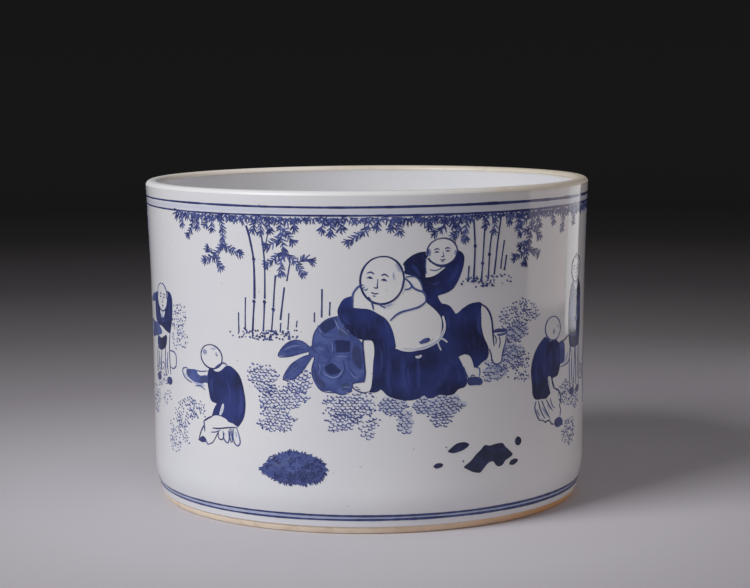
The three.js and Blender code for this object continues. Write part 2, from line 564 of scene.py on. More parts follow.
class Painting:
    # strokes and washes laid out flat in millimetres, then wrapped on the pot as thin closed skins
    def __init__(self, name, about=(0, 0), at=None, flip=1, seed=1):
        self.name = name
        self.about = about
        self.at = at or about
        self.flip = flip
        self.mesh = bmesh.new()
        self.core = self.mesh.verts.layers.float.new("core")
        self.shade = self.mesh.verts.layers.float.new("shade")
        self.random = random.Random(seed)

    def lay(self, verts, tone, shade, layer):
        lift = layer * brush["layer"]
        for vert in verts:
            vert[self.shade] = shade
            vert.co.z = lift
        for face in {face for vert in verts for face in vert.link_faces}:
            face.material_index = tones.index(tone)

    def stroke(self, points, width, tone="line", layer=5, shade=None, step=None, across=2):
        # a brush stroke along a curve, with its width given at even steps along it
        path = curveThrough(points, step or brush["cell"])
        count = len(path) - 1
        grid = bmesh.ops.create_grid(self.mesh, x_segments=count, y_segments=across, size=0.5)
        seed = self.random.uniform(0, 100)
        for vert in grid["verts"]:
            i, side = round((vert.co.x + 0.5) * count), vert.co.y * 2
            ahead = path[min(i + 1, count)] - path[max(i - 1, 0)]
            normal = Vector((-ahead.y, ahead.x, 0)).normalized()
            wide = spread(width, i / count) * (1 + brush["tremble"] * noise.noise((seed, i * 0.6, 0)))
            vert[self.core] = (1 - abs(side)) * min(1, 3 * i / count, 3 * (count - i) / count)
            vert.co = path[i] + normal * side * wide / 2
        self.lay(grid["verts"], tone, self.random.random() if shade is None else shade, layer)

    def fill(self, outline, tone="robe", layer=2, soft=0.0, shade=0.5, step=None):
        # a shape filled with a wash, whose edge can fade over a soft width
        flat = bmesh.new()
        core = flat.verts.layers.float.new("core")
        flat.verts.layers.float.new("shade")
        path = curveThrough(outline, step or brush["cell"], closed=True)
        if sum(a.x * b.y - b.x * a.y for a, b in zip(path, path[1:] + path[:1])) < 0:
            path.reverse()
        face = flat.faces.new([flat.verts.new(p) for p in path])
        face.normal_update()
        if soft:
            bmesh.ops.inset_region(flat, faces=[face], thickness=soft, use_boundary=True,
                                   use_even_offset=True)
        edge = {vert for vert in flat.verts if vert.is_boundary}
        for vert in flat.verts:
            vert[core] = 0.0 if soft and vert in edge else 1.0
        bmesh.ops.triangulate(flat, faces=flat.faces)
        for axis, cell in ((0, brush["cell"]), (1, brush["tallCell"])):
            low, high = min(p[axis] for p in path), max(p[axis] for p in path)
            ahead = Vector((1 - axis, axis, 0))
            for i in range(1, ceil((high - low) / cell)):
                everything = flat.verts[:] + flat.edges[:] + flat.faces[:]
                cut = ahead * (low + i * cell)
                bmesh.ops.bisect_plane(flat, geom=everything, plane_co=cut, plane_no=ahead, dist=1e-4)
        piece = bpy.data.meshes.new("wash")
        flat.to_mesh(piece)
        flat.free()
        old = len(self.mesh.verts)
        self.mesh.from_mesh(piece)
        bpy.data.meshes.remove(piece)
        self.mesh.verts.ensure_lookup_table()
        self.lay(self.mesh.verts[old:], tone, shade, layer)

    def ring(self, centre, radii, width, tone, layer, tilt):
        # an outline drawn round in one stroke whose ends overlap
        start, sweep = 100, 372
        turns = [radians(start + sweep * i / 14) for i in range(15)]
        turn = Matrix.Rotation(radians(tilt), 2)
        points = [Vector(centre) + turn @ Vector((radii[0] * cos(t), radii[1] * sin(t))) for t in turns]
        widths = [width * k for k in (0.5, 1, 1.15, 1, 0.9, 1.1, 0.5)]
        self.stroke([tuple(p) for p in points], widths, tone, layer)

    def oval(self, centre, radii, tone, layer, tilt=0, soft=0.0, ragged=0.0):
        turn = Matrix.Rotation(radians(tilt), 2)
        outline = []
        for i in range(12):
            reach = 1 + self.random.uniform(-ragged, ragged)
            spot = turn @ Vector((radii[0] * cos(i * pi / 6), radii[1] * sin(i * pi / 6))) * reach
            outline.append((centre[0] + spot.x, centre[1] + spot.y))
        self.fill(outline, tone, layer, soft)

    def dot(self, centre, size, tone="line", layer=5, long=1.0, tilt=0, shade=None):
        spot = bmesh.ops.create_circle(self.mesh, cap_ends=True, segments=8, radius=size)
        turn = Matrix.Translation((*centre, 0)) @ Matrix.Rotation(radians(tilt), 4, "Z")
        turn = turn @ Matrix.Diagonal((long, 1, 1, 1))
        for vert in spot["verts"]:
            vert.co = turn @ vert.co
            vert[self.core] = 0.5
        self.lay(spot["verts"], tone, self.random.random() if shade is None else shade, layer)

    def leaf(self, base, heading, length, width=0.45, layer=4, tone="leaf"):
        # one pressed and lifted touch of the brush, heading in degrees from rightwards towards up
        bend = self.random.uniform(-0.08, 0.08) * length
        ahead = Vector((cos(radians(heading)), sin(radians(heading))))
        side = Vector((-ahead.y, ahead.x)) * bend
        start = Vector(base)
        points = [start, start + ahead * length * 0.5 + side, start + ahead * length]
        widths = [width * k for k in (0.55, 1, 1, 0.85, 0.35)]
        self.stroke([tuple(p) for p in points], widths, tone, layer, step=length / 3, across=1)

    def finish(self, nodes=()):
        # moves the drawing to its place, gives it thickness and wraps it on the wall
        for vert in self.mesh.verts:
            vert.co.x = self.at[0] + self.flip * (vert.co.x - self.about[0]) + brush["round"]
            vert.co.y = (self.at[1] + vert.co.y - self.about[1]) * brush["tall"]
        under = bmesh.ops.extrude_face_region(self.mesh, geom=self.mesh.faces[:], use_keep_orig=True)
        for vert in (part for part in under["geom"] if isinstance(part, bmesh.types.BMVert)):
            vert.co.z = -brush["root"]
        bmesh.ops.recalc_face_normals(self.mesh, faces=self.mesh.faces[:])
        wall = self.mesh.verts.layers.float_vector.new("wall")
        normals = []
        for vert in self.mesh.verts:
            u, z, lift = vert.co
            vert[wall] = (u * mm, z * mm, 0)
            normals.append(wallNormal(u, z) if lift > 0 else None)
            vert.co = wallPoint(u, z, lift)
        self.mesh.normal_update()
        shown = []
        for face in self.mesh.faces:
            for loop in face.loops:
                normal = normals[loop.vert.index]
                follows = normal and face.normal.dot(normal) > brush["facing"]
                shown.append(tuple(normal if follows else face.normal))
        piece = keep(self.name, self.mesh, [paints[tone] for tone in tones], nodes)
        piece.data.normals_split_custom_set(shown)


# darkest first where a paint has more than one colour
cobalts = {
    "line": ((0.026, 0.035, 0.130), (0.088, 0.118, 0.330)),
    "leaf": ((0.026, 0.036, 0.140), (0.110, 0.142, 0.370)),
    "robe": ((0.015, 0.020, 0.068), (0.028, 0.043, 0.190), (0.048, 0.070, 0.260)),
    "fold": (0.042, 0.062, 0.240),
    "sack": ((0.048, 0.070, 0.235), (0.090, 0.125, 0.350), (0.140, 0.185, 0.440)),
    "patch": ((0.016, 0.022, 0.085), (0.20, 0.26, 0.52)),
    "wash": ((0.085, 0.115, 0.330), (0.38, 0.45, 0.66)),
    "bleed": (0.40, 0.46, 0.68),
    "stone": ((0.016, 0.021, 0.058), (0.030, 0.041, 0.120)),
}


def wallPlace(shader):
    return shader.add("Attribute", {"attribute_name": "wall"}, output="Vector")


def fromStroke(shader, name):
    return shader.add("Attribute", {"attribute_name": name}, output="Fac")


def robeColour(shader):
    # heavy cobalt, nearly black where it pooled, with the marks of a broad brush
    deep, middle, light = cobalts["robe"]
    where = wallPlace(shader)
    pools = shader.cloud(where, 14, 2, 0.5)
    marks = shader.cloud(shader.stretched(where, (2.4, 0.5, 1)), 3, 3, 0.6)
    colour = shader.mix(shader.band(pools, 0.32, 0.70), deep, middle)
    return shader.mix(shader.band(marks, 0.50, 0.80) * 0.45, colour, light)


def sackColour(shader):
    deep, middle, light = cobalts["sack"]
    where = wallPlace(shader)
    pools = shader.cloud(where, 7, 3, 0.6)
    marks = shader.cloud(shader.stretched(where, (0.6, 2.2, 1)), 3, 3, 0.6)
    colour = shader.mix(shader.band(pools, 0.35, 0.68), deep, middle)
    return shader.mix(shader.band(marks, 0.55, 0.8) * 0.5, colour, light)


def linePaint():
    shader = Shader("cobaltLine")
    tone = fromStroke(shader, "shade") * 0.45 + shader.cloud(wallPlace(shader), 4, 3, 0.6) * 0.75
    return glazed(shader, shader.mix(shader.band(tone, 0.35, 0.95), *cobalts["line"]))


def leafPaint():
    shader = Shader("cobaltLeaf")
    tone = fromStroke(shader, "shade") * 0.6 + shader.cloud(wallPlace(shader), 16, 3, 0.6) * 0.7
    return glazed(shader, shader.mix(shader.band(tone, 0.3, 1.05), *cobalts["leaf"]))


def robePaint():
    shader = Shader("cobaltRobe")
    return glazed(shader, robeColour(shader))


def foldPaint():
    # a lighter drag of the brush over the robe
    shader = Shader("cobaltFold")
    share = shader.band(fromStroke(shader, "core"), 0.0, 0.9) * (0.35 + fromStroke(shader, "shade") * 0.65)
    return glazed(shader, shader.mix(share, robeColour(shader), cobalts["fold"]))


def sackPaint():
    shader = Shader("cobaltSack")
    return glazed(shader, sackColour(shader))


def patchPaint():
    # dark over the sack where shade is low, and light where it is high
    shader = Shader("cobaltPatch")
    tint = shader.mix(fromStroke(shader, "shade"), *cobalts["patch"])
    share = shader.band(fromStroke(shader, "core"), 0.0, 0.6) * 0.85
    return glazed(shader, shader.mix(share, sackColour(shader), tint))


def washPaint():
    # thin cobalt that fades out into the white
    shader = Shader("cobaltWash")
    tint = shader.mix(fromStroke(shader, "shade"), *cobalts["wash"])
    uneven = 0.55 + shader.cloud(wallPlace(shader), 5, 3) * 0.6
    share = shader.band(fromStroke(shader, "core"), 0.0, 0.95) * uneven
    return glazed(shader, shader.mix(share, glazeColour(shader), tint))


def haloPaint():
    # the faint blue that bleeds into the glaze round heavy painting
    shader = Shader("cobaltBleed")
    share = shader.band(fromStroke(shader, "core"), 0.0, 1.0) * 0.42
    return glazed(shader, shader.mix(share, glazeColour(shader), cobalts["bleed"]))


def reservePaint():
    # white left inside a painted outline
    shader = Shader("whiteReserve")
    return glazed(shader, glazeColour(shader))


def stonePaint():
    shader = Shader("cobaltStone")
    pools = shader.cloud(wallPlace(shader), 5, 3, 0.6)
    return glazed(shader, shader.mix(shader.band(pools, 0.4, 0.75), *cobalts["stone"]))


paints = {
    "line": linePaint(),
    "leaf": leafPaint(),
    "robe": robePaint(),
    "fold": foldPaint(),
    "sack": sackPaint(),
    "patch": patchPaint(),
    "wash": washPaint(),
    "halo": haloPaint(),
    "reserve": reservePaint(),
    "stone": stonePaint(),
}
tones = list(paints)
print("cobalt ground")

bands = {
    "rimLineUpper": {"z": pot["height"] - 6.15, "width": 0.95, "nodes": ["rim_line_upper"]},
    "rimLineLower": {"z": pot["height"] - 9.5, "width": 0.8, "nodes": ["rim_line_lower"]},
    "footLineUpper": {"z": 7.8, "width": 0.9, "nodes": ["foot_line_upper"]},
    "footLineLower": {"z": 6.1, "width": 0.85, "nodes": ["foot_line_lower"]},
    "rimWash": {"z": pot["height"] - 7.9, "width": 4.2, "tone": "halo", "layer": 0.8},
    "footWash": {"z": 6.9, "width": 3.2, "tone": "wash", "layer": 0.8, "shade": 0.85},
}
wheelTurn = {
    "points": 40,
    "wander": 0.10,  # how far a line strays up and down
    "swell": 0.26,  # share by which it is wider on the right and thinner on the left
    "uneven": (0.82, 1.18),
}


def bandLine(name, z, width, tone="line", layer=5, shade=0.35, nodes=()):
    # drawn in one turn of the wheel, so it wanders and swells a little, most on the right
    painting = Painting(name, seed=int(z))
    around = pi * waistRadius
    level = z / brush["tall"]
    count = wheelTurn["points"]
    points = []
    for i in range(count + 1):
        points.append((around * (2 * i / count - 1), level + wheelTurn["wander"] * sin(i * 0.7 + z)))
    points[-1] = (points[-1][0] + 1, points[0][1])
    widths = []
    for i in range(61):
        swell = 1 + wheelTurn["swell"] * sin(pi * (i / 30 - 1))
        widths.append(width * swell * painting.random.uniform(*wheelTurn["uneven"]))
    painting.stroke(points, widths, tone, layer, shade)
    painting.finish(nodes=nodes)


for name, band in bands.items():
    bandLine(name, **band)
print("lines drawn")

spraySettings = {
    "step": 1.0,  # between pairs of leaves
    "length": 2.5,
    "width": 0.5,
    "spread": 50,  # degrees between a leaf and its twig
    "fan": 5,  # leaves at the tip
}
fringeSettings = {
    "top": 125.2,
    "deep": 3.6,
    "width": 0.54,
    "middle": 0.56,  # width of the leaf over the middle of each fan
    "apart": (1.3, 2.2),
}


def spray(painting, path):
    # a twig with leaves down both sides and a fan of them at its end
    length, fan = spraySettings["length"], spraySettings["fan"]
    line = curveThrough(path, spraySettings["step"])
    painting.stroke(path, [0.5, 0.4, 0.3], "leaf", 4)
    painting.stroke(path, [2.4, 3.4, 3.0], "halo", 0.6)
    chance = painting.random
    for i, (here, there) in enumerate(zip(line, line[1:])):
        ahead = atan2(there.y - here.y, there.x - here.x) * 180 / pi
        for side in (-1, 1):
            turn = side * spraySettings["spread"] * chance.uniform(0.7, 1.25)
            spot = here.lerp(there, chance.random())
            long = length * chance.uniform(0.7, 1.1)
            width = spraySettings["width"] * chance.uniform(0.8, 1.15)
            painting.leaf((spot.x, spot.y), ahead + turn, long, width)
    tip = line[-1]
    for i in range(fan):
        turn = (i / (fan - 1) - 0.5) * 2 * spraySettings["spread"] * 1.2
        heading = ahead + turn + chance.uniform(-6, 6)
        painting.leaf((tip.x, tip.y), heading, length * chance.uniform(0.8, 1.15), spraySettings["width"])


def fringe(painting, start, end):
    # the underside of the canopy: fan beside fan, hanging from the painted line, with a thin wash behind
    top, width = fringeSettings["top"], fringeSettings["width"]
    chance = painting.random
    u = start
    while u < end:
        drop = fringeSettings["deep"] * chance.uniform(0.65, 1.15)
        lean = chance.uniform(-35, 35)
        count = chance.choice((3, 4, 5))
        for i in range(count):
            turn = -90 + lean + (i / (count - 1) - 0.5) * chance.uniform(90, 150)
            root = (u + chance.uniform(-0.3, 0.3), top - chance.uniform(0, 0.9))
            painting.leaf(root, turn, drop * chance.uniform(0.6, 1.0), width * chance.uniform(0.8, 1.2))
        painting.leaf((u, top - drop * 0.3), -90 + lean * 1.6, drop * 0.8, fringeSettings["middle"])
        if chance.random() < 0.5:
            bleed = [(u - 1.6, top - 0.7), (u, top - 1.1), (u + 1.8, top - 0.8)]
            painting.stroke(bleed, [1.4, 2.2, 1.2], "halo", 0.6)
        u += chance.uniform(*fringeSettings["apart"])


def stem(painting, points, width, joints=()):
    # a stem, with a dark tick and a dot at each of its joints
    widths = [width * 1.1, width, width * 0.9, width, width * 1.25]
    painting.stroke(points, widths, "line", 5, 0.35)
    for u, z in joints:
        tick = [(u - 0.7, z - 0.15), (u, z + 0.1), (u + 0.75, z - 0.3)]
        painting.stroke(tick, [0.3, 1.0, 0.35], "line", 6, 0.3)
        painting.dot((u + 0.1, z - 0.4), 0.5, "line", 6, 1.3, 70)


def groundDots(painting, left, right, low, high, count):
    # little touches at the foot of a grove, thickest in its middle
    chance = painting.random
    middle = (left + right) / 2
    for i in range(count):
        u = chance.gauss(middle, (right - left) / 4.4)
        z = chance.uniform(low, high) + abs(u - middle) * 0.04
        size, long, turn = chance.uniform(0.2, 0.42), chance.uniform(1, 1.7), chance.uniform(0, 180)
        painting.dot((min(max(u, left), right), z), size, "line", 5, long, turn)


# stems are (points from the top down, width), and the ground is left, right, low, high and how many dots
leftGrove = {
    "stems": [
        ([(-48.2, 121.2), (-47.1, 118), (-45.9, 112.5), (-45.3, 108.5), (-45.1, 102), (-45.3, 92.6)], 0.85),
        ([(-45.5, 91), (-46, 86), (-46.5, 79.9)], 0.75),
        ([(-41.4, 117.6), (-40.6, 110.5), (-40.4, 103), (-40.7, 92.8)], 0.6),
        ([(-40.9, 91), (-41.2, 86), (-41.7, 79.9)], 0.65),
        ([(-39, 121.5), (-38.6, 119), (-39.2, 116), (-40.2, 111.5)], 0.4),
        ([(-35.8, 102.2), (-36.5, 96), (-37, 89.7)], 0.6),
        ([(-37.2, 88), (-37.6, 84), (-38.1, 79.9)], 0.55),
        ([(-32.2, 97.6), (-32.9, 93), (-34.1, 84.8)], 0.65),
        ([(-34, 83.6), (-34.3, 80)], 0.5),
        ([(-29.5, 107.8), (-30.4, 103.5), (-31.1, 100.1)], 0.5),
        ([(-53, 86.8), (-53.1, 82.5), (-53.1, 78.8)], 0.5),
        ([(-49.5, 93), (-49.8, 86.5), (-50, 79.8)], 0.5),
        ([(-30.5, 87.6), (-30.8, 84), (-31.1, 81)], 0.45),
        ([(-27.2, 84.7), (-27.5, 82.2)], 0.4),
        ([(-17, 97.3), (-17.1, 92), (-17.3, 86.3)], 0.6),
        ([(-13.9, 92.3), (-14.2, 87)], 0.5),
        ([(-20.1, 88.1), (-20.2, 84.4)], 0.45),
    ],
    "joints": [(-45.2, 108.3), (-45.6, 91.6), (-40.9, 91.7), (-37.1, 88.9)],
    "ground": (-57.5, -25.5, 76.4, 80.4, 115),
}
rightGrove = {
    "stems": [
        ([(43.2, 123.2), (43.6, 118), (43.9, 112), (43.7, 105), (43.4, 98.4)], 0.7),
        ([(49.2, 119.1), (48.2, 118.4), (47.8, 112), (47.4, 105), (47.1, 99), (48.3, 96.5)], 0.62),
        ([(51.6, 117.6), (50.8, 112), (50.4, 105), (50.1, 99.4)], 0.6),
        ([(55.9, 124), (55.1, 118.5), (54.3, 113), (53.6, 106.5), (52.9, 101)], 0.7),
        ([(57.7, 114.3), (57, 110), (56.4, 106), (56.1, 103)], 0.55),
        ([(58.9, 108.4), (58.5, 105.5), (57.9, 102.4)], 0.65),
        ([(41.4, 105.1), (41.1, 102), (41, 98.8)], 0.6),
    ],
    "joints": [(43.9, 112.8), (50.5, 109.2), (47.4, 105.8)],
    "ground": (38, 61.5, 96.4, 100.6, 68),
}


def grove(name, stems, joints, ground, seed=3, **place):
    painting = Painting(name, seed=seed, **place)
    for points, width in stems:
        stem(painting, points, width)
    for u, z in joints:
        stem(painting, [(u - 0.05, z + 0.6), (u, z - 0.6)], 0.9, [(u, z)])
    groundDots(painting, *ground)
    painting.finish()


# twigs hanging out of the canopy, each from its root to its tip
hanging = [
    [(-84.5, 124), (-84.2, 120.5)], [(-76, 124), (-77.5, 119.5), (-80, 116.2)],
    [(-74, 123.5), (-74, 120)], [(-65.5, 124), (-65.5, 119.5)], [(-68, 124), (-69, 121)],
    [(-60.5, 125), (-59.8, 120), (-59.9, 113)], [(-60, 113), (-62.5, 110.8), (-66, 108), (-70, 106.6)],
    [(-64.5, 108.8), (-62.7, 106.3), (-61.6, 104.4)], [(-59.8, 113), (-56.5, 111.5), (-51.8, 110.2)],
    [(-66, 110), (-68, 111)], [(-41, 124), (-41.8, 119.3)], [(-38.5, 123.5), (-37.8, 120)],
    [(-44, 124), (-45, 120)], [(-33.2, 125), (-33, 118), (-31.8, 111)],
    [(-32, 112), (-33.3, 107.5), (-33.4, 103.2)], [(-34, 111), (-36.3, 108.3), (-39.3, 106.3)],
    [(-31, 110.5), (-28, 108), (-24.8, 103.5)], [(-26.5, 107.2), (-23.6, 109), (-21, 108.2)],
    [(-33.2, 117), (-36, 115), (-39, 113.6)], [(-32.2, 120.5), (-30, 118), (-28.5, 115.8)],
    [(-28, 124), (-27.6, 121)], [(-13.2, 124.8), (-13.3, 119)], [(-16, 124), (-16.6, 120.5)],
    [(-10, 124), (-9.2, 120.8)], [(2, 124), (0, 119.8), (-3.5, 117.6), (-6.5, 115.6)],
    [(5, 124), (4.5, 121.5)], [(12, 124.5), (13, 119.5)], [(10.5, 124), (10, 121)],
    [(25, 124), (24.8, 121.5)], [(31.5, 124.5), (30.5, 120.5), (27, 118.6)], [(33, 124), (34.5, 121.3)],
    [(41, 124.5), (39.5, 119), (39.6, 115.8)], [(38, 119.5), (35, 117.3)], [(37.5, 124), (36.5, 121.2)],
    [(48, 124), (48.5, 121)], [(53, 124), (52.6, 118.5)], [(60, 124), (60, 121.8)],
    [(65, 124), (64.5, 119.5)], [(73.5, 125), (72, 119), (70.8, 112), (68.9, 104.8)],
    [(71.3, 118), (69, 117.3), (66.3, 116.5)], [(72, 120), (75.5, 117.5), (77.2, 114.8)],
    [(71, 113), (68.5, 112), (66.2, 111.4)], [(70, 109.3), (66.5, 108), (63.3, 107.1)],
    [(70.5, 110.3), (73.5, 109), (76, 107.8)], [(70, 122), (66.5, 120.5)], [(76, 122.5), (77, 119.5)],
    [(86, 124), (86.8, 120.3)], [(95.5, 124), (94, 117)], [(106, 124), (105.5, 119)],
]
# behind, most of them again, once turned about and once moved round
hangingBack = [[(213 - u, z) for u, z in twig] for twig in hanging if -72 < twig[0][0] < 78]
hangingBack += [[(375 + u, z) for u, z in twig] for twig in hanging if -85 < twig[0][0] < 78]


def canopy(name, twigs, start, end, seed):
    # the whole hanging fringe from start round to end, with its twigs
    painting = Painting(name, seed=seed)
    painting.stroke([(start, 124.2), (end, 124.2)], 3.2, "halo", 0.7)
    fringe(painting, start, end)
    for twig in twigs:
        spray(painting, twig)
    painting.finish()


girth = 2 * pi * waistRadius
canopy("canopyFront", hanging, -88, 112, 11)
canopy("canopyBack", hangingBack, 112, girth - 130, 12)
grove("groveLeft", **leftGrove)
grove("groveRight", seed=4, **rightGrove)
grove("groveBackLeft", **leftGrove, seed=5, at=(213, 0), flip=-1)
grove("groveBackRight", **rightGrove, seed=6, at=(232, 0))
print("bamboo painted")

turfSettings = {
    "row": 1.15,  # between rows of marks
    "column": 1.95,
    "size": 0.86,
    "ragged": 0.46,  # how far a patch's edge wanders
    "marksTo": 0.9,  # share of the way out that is cupped marks
    "dabsTo": 1.14,  # and past them, dabs
}


def turf(name, patches, seed, dabs=0.0):
    # rows of little cupped marks like scales, with dabs at the edge of each patch and for a share of it
    painting = Painting(name, seed=seed)
    chance = painting.random
    for (u, z), (wide, tall), lean, wash in patches:
        turn = Matrix.Rotation(radians(lean), 2)
        rows = max(2, round(2 * tall / turfSettings["row"]))
        columns = max(2, round(2 * wide / turfSettings["column"]))
        for row in range(rows):
            for column in range(columns):
                x = (column + 0.5 * (row % 2) + 0.25 + chance.uniform(-0.16, 0.16)) / columns * 2 - 1
                y = (row + 0.5 + chance.uniform(-0.16, 0.16)) / rows * 2 - 1
                wander = noise.noise((x * 2.2 + u, y * 2.2 + z, seed))
                reach = hypot(x, y) + turfSettings["ragged"] * wander
                spot = turn @ Vector((x * wide, y * tall))
                centre = (u + spot.x, z + spot.y)
                if reach < turfSettings["marksTo"] and chance.random() >= dabs:
                    scale(painting, centre, chance, wash)
                elif reach < turfSettings["dabsTo"] and chance.random() < 0.7:
                    size, long = chance.uniform(0.25, 0.42), chance.uniform(1.2, 2.1)
                    tilt, shade = chance.uniform(-70, 40), chance.uniform(0.3, 0.9)
                    painting.dot(centre, size, "leaf", 1.5, long, tilt, shade)
        if wash:
            soft = min(wide, tall) * 0.5
            painting.oval((u, z), (wide * 0.95, tall * 0.95), "wash", 0.6, lean, soft, 0.1)
    painting.finish()


def scale(painting, centre, chance, wash):
    # a cupped touch of the brush, pressed hardest where it starts, over a little bled colour
    size = turfSettings["size"] * chance.uniform(0.85, 1.12)
    start = chance.uniform(150, 205)
    sweep = chance.uniform(140, 205)
    points = []
    for k in range(5):
        turn = radians(start + sweep * k / 4)
        points.append((centre[0] + size * 1.05 * cos(turn), centre[1] + size * 0.8 * sin(turn)))
    width = chance.uniform(0.36, 0.52)
    widths = [width * k for k in (1.5, 1.25, 1, 0.85, 0.5)]
    painting.stroke(points, widths, "leaf", 1.5, chance.uniform(0.3, 0.85), step=0.8, across=1)
    if wash:
        painting.dot(centre, size * 1.25, "wash", 0.9, 1.15, shade=0.75)
    else:
        painting.dot(centre, size * 0.95, "halo", 0.9, 1.15)


# patches of turf are (middle, half width and height, lean, whether a wash lies under them)
turfFront = [
    ((-42.5, 63), (7, 4.2), 0, 0), ((-41, 57.5), (5, 2.6), -10, 0), ((-26.5, 61), (5.5, 4.6), 20, 0),
    ((-33.5, 54.5), (11, 4.6), 6, 0), ((-36.5, 45.5), (8.5, 5.2), -4, 0),
    ((-7, 51.5), (10.5, 5.6), 0, 0), ((-9, 45.5), (7.5, 3.6), 12, 0), ((1, 43.5), (3.4, 4.6), -25, 0),
    ((10.5, 51.5), (6, 4.4), 0, 1), ((15, 45.5), (3.4, 4.8), 0, 1), ((22, 51.5), (4, 3.2), 0, 1),
    ((31, 50.5), (8.5, 4.6), 6, 1), ((30, 45.5), (4.5, 3), 0, 0),
]
turfRight = [
    ((64, 84), (8, 5.6), 8, 0), ((72.5, 85), (6.5, 4.2), -18, 0), ((64.5, 77.5), (6.5, 4.6), 10, 1),
    ((61, 69), (8.5, 6.2), -14, 1), ((54, 62.5), (7, 4), -6, 1), ((67.5, 63), (5, 6.5), 0, 0),
    ((102, 48.5), (9, 6), 0, 0), ((104, 31.5), (7.5, 5.5), 0, 0), ((112, 44), (6, 4), 0, 0),
]
turfLeft = [
    ((-91, 82), (7, 5), 10, 0), ((-90, 73), (6.5, 4.2), 12, 0), ((-93.5, 33), (8.5, 7), 18, 0),
    ((-87, 43), (8.5, 5.5), 22, 0), ((-78, 45.5), (5.5, 4), 0, 0), ((-110, 56), (9, 5), 12, 0),
    ((-104, 47), (5, 3), 12, 0), ((-121, 44), (8, 6), 0, 0),
]
turfBack = [
    ((128, 55), (8, 5), 0, 0), ((139, 49), (9, 5), 8, 0), ((150, 58), (6, 4), -8, 0),
    ((183, 52), (10, 5), 0, 0), ((196, 46), (8, 4.5), 10, 0), ((207, 55), (6, 4), 0, 0),
    ((247, 48), (9, 5), -6, 0), ((262, 55), (8, 5), 6, 0), ((276, 49), (7, 4), 0, 0),
    ((318, 52), (10, 5), 0, 0), ((331, 46), (7, 4), 8, 0), ((368, 55), (9, 5), 0, 0),
    ((382, 48), (8, 5), -8, 0), ((408, 52), (8, 5), 0, 0), ((171, 84), (7, 4), 0, 0),
    ((346, 82), (7, 4), 10, 0),
]
turf("turfFront", turfFront, 21)
turf("turfRight", turfRight, 22, 0.5)
turf("turfLeft", turfLeft, 23, 0.85)
turf("turfBack", turfBack, 24, 0.3)


moss = {
    "outline": [
        (-44.5, 24.9), (-42, 27), (-38.5, 29.8), (-34.5, 32.2), (-30.5, 33.2), (-26.5, 32.7), (-22.5, 31.8),
        (-18.6, 29.8), (-16.4, 27.4), (-16.8, 24.2), (-19.4, 21.5), (-24.5, 20.4), (-30, 20), (-36, 20.6),
        (-40.5, 22.6)],
    "middle": (-29, 26.5),
    "dark": [
        (-38, 22.3), (-30, 21), (-23, 21.6), (-17.8, 24.4), (-17.6, 27.6), (-20.5, 29.8), (-24, 29),
        (-27, 26.2), (-32, 24.6)],
    "light": [(-40.5, 26.6), (-36, 29.4), (-31.5, 31.2), (-27.5, 31.2), (-29.5, 28.6), (-35, 26.4)],
    "halfSize": (13.2, 6.4),
    "blades": 340,
    "flecks": 60,
}
rocks = {
    "large": [
        (39.2, 25.7), (42.2, 27.8), (44.9, 30.4), (46.8, 31.8), (48.7, 33.5), (51.2, 33.1), (54.2, 33.5),
        (57.4, 33.4), (58.8, 31.9), (60.9, 30.1), (62.7, 28.3), (61.2, 27.2), (58.9, 26.2), (57.4, 24.6),
        (55.4, 24.2), (53.9, 25.1), (52.6, 26.6), (50.2, 26.1), (47.9, 23.9), (46.2, 22.7), (43.1, 23.4),
        (40.4, 24.8)],
    "flat": [
        [(32.3, 32.4), (33.6, 33.6), (36.1, 35.3), (39.6, 35.6), (41.6, 34.4), (39.2, 32.6), (34.6, 31.6)],
        [(26.2, 26.9), (27.8, 28.1), (30, 27.8), (30, 26.7), (27.6, 25.9)]],
    "pebbles": [((65.8, 33.2), (1.8, 1.75), 0), ((63.2, 25.1), (2.3, 1.2), 12)],
    "grains": [((38.9, 28), 0.4), ((31.6, 34.2), 0.25)],
}


def mound(name, seed=31, **place):
    # a tussock of moss, soft inside and bristling at its edge
    painting = Painting(name, seed=seed, **place)
    chance = painting.random
    painting.fill(moss["outline"], "sack", 2)
    middle = Vector((*moss["middle"], 0))
    for here in curveThrough(moss["outline"], 0.75, closed=True):
        away = here - middle
        heading = atan2(away.y * 1.3, away.x) * 180 / pi + chance.uniform(-28, 28)
        inner = here - away.normalized() * 0.9
        painting.leaf((inner.x, inner.y), heading, chance.uniform(1.2, 2.0), 0.5)
    painting.fill(moss["dark"], "patch", 3, 1.6, 0.05)
    painting.fill(moss["light"], "patch", 3, 1.1, 0.45)
    for i in range(moss["blades"]):
        turn, reach = chance.uniform(0, 2 * pi), sqrt(chance.random()) * 0.97
        across, up = reach * cos(turn), reach * sin(turn)
        spot = (middle.x + moss["halfSize"][0] * across, middle.y + moss["halfSize"][1] * up)
        heading = -90 + chance.uniform(-75, 75) + 25 * cos(turn)
        if chance.random() < 0.75 - 0.35 * up + 0.25 * across:
            painting.leaf(spot, heading, chance.uniform(1.1, 2.1), 0.62, tone="line")
    for i in range(moss["flecks"]):
        spot = (middle.x + chance.uniform(-11, 6), middle.y + chance.uniform(-2, 5))
        end = (spot[0] + chance.uniform(0.8, 1.6), spot[1] + chance.uniform(-0.8, 0.8))
        painting.stroke([spot, end], [0.3, 0.6, 0.3], "patch", 3, 0.6)
    painting.finish()


def stones(name, seed=41, **place):
    painting = Painting(name, seed=seed, **place)
    painting.fill(rocks["large"], "stone", 3, step=0.8)
    for outline in rocks["flat"]:
        painting.fill(outline, "stone", 3)
    for centre, radii, tilt in rocks["pebbles"]:
        painting.oval(centre, radii, "stone", 3, tilt, ragged=0.08)
    for centre, size in rocks["grains"]:
        painting.dot(centre, size)
    painting.finish()


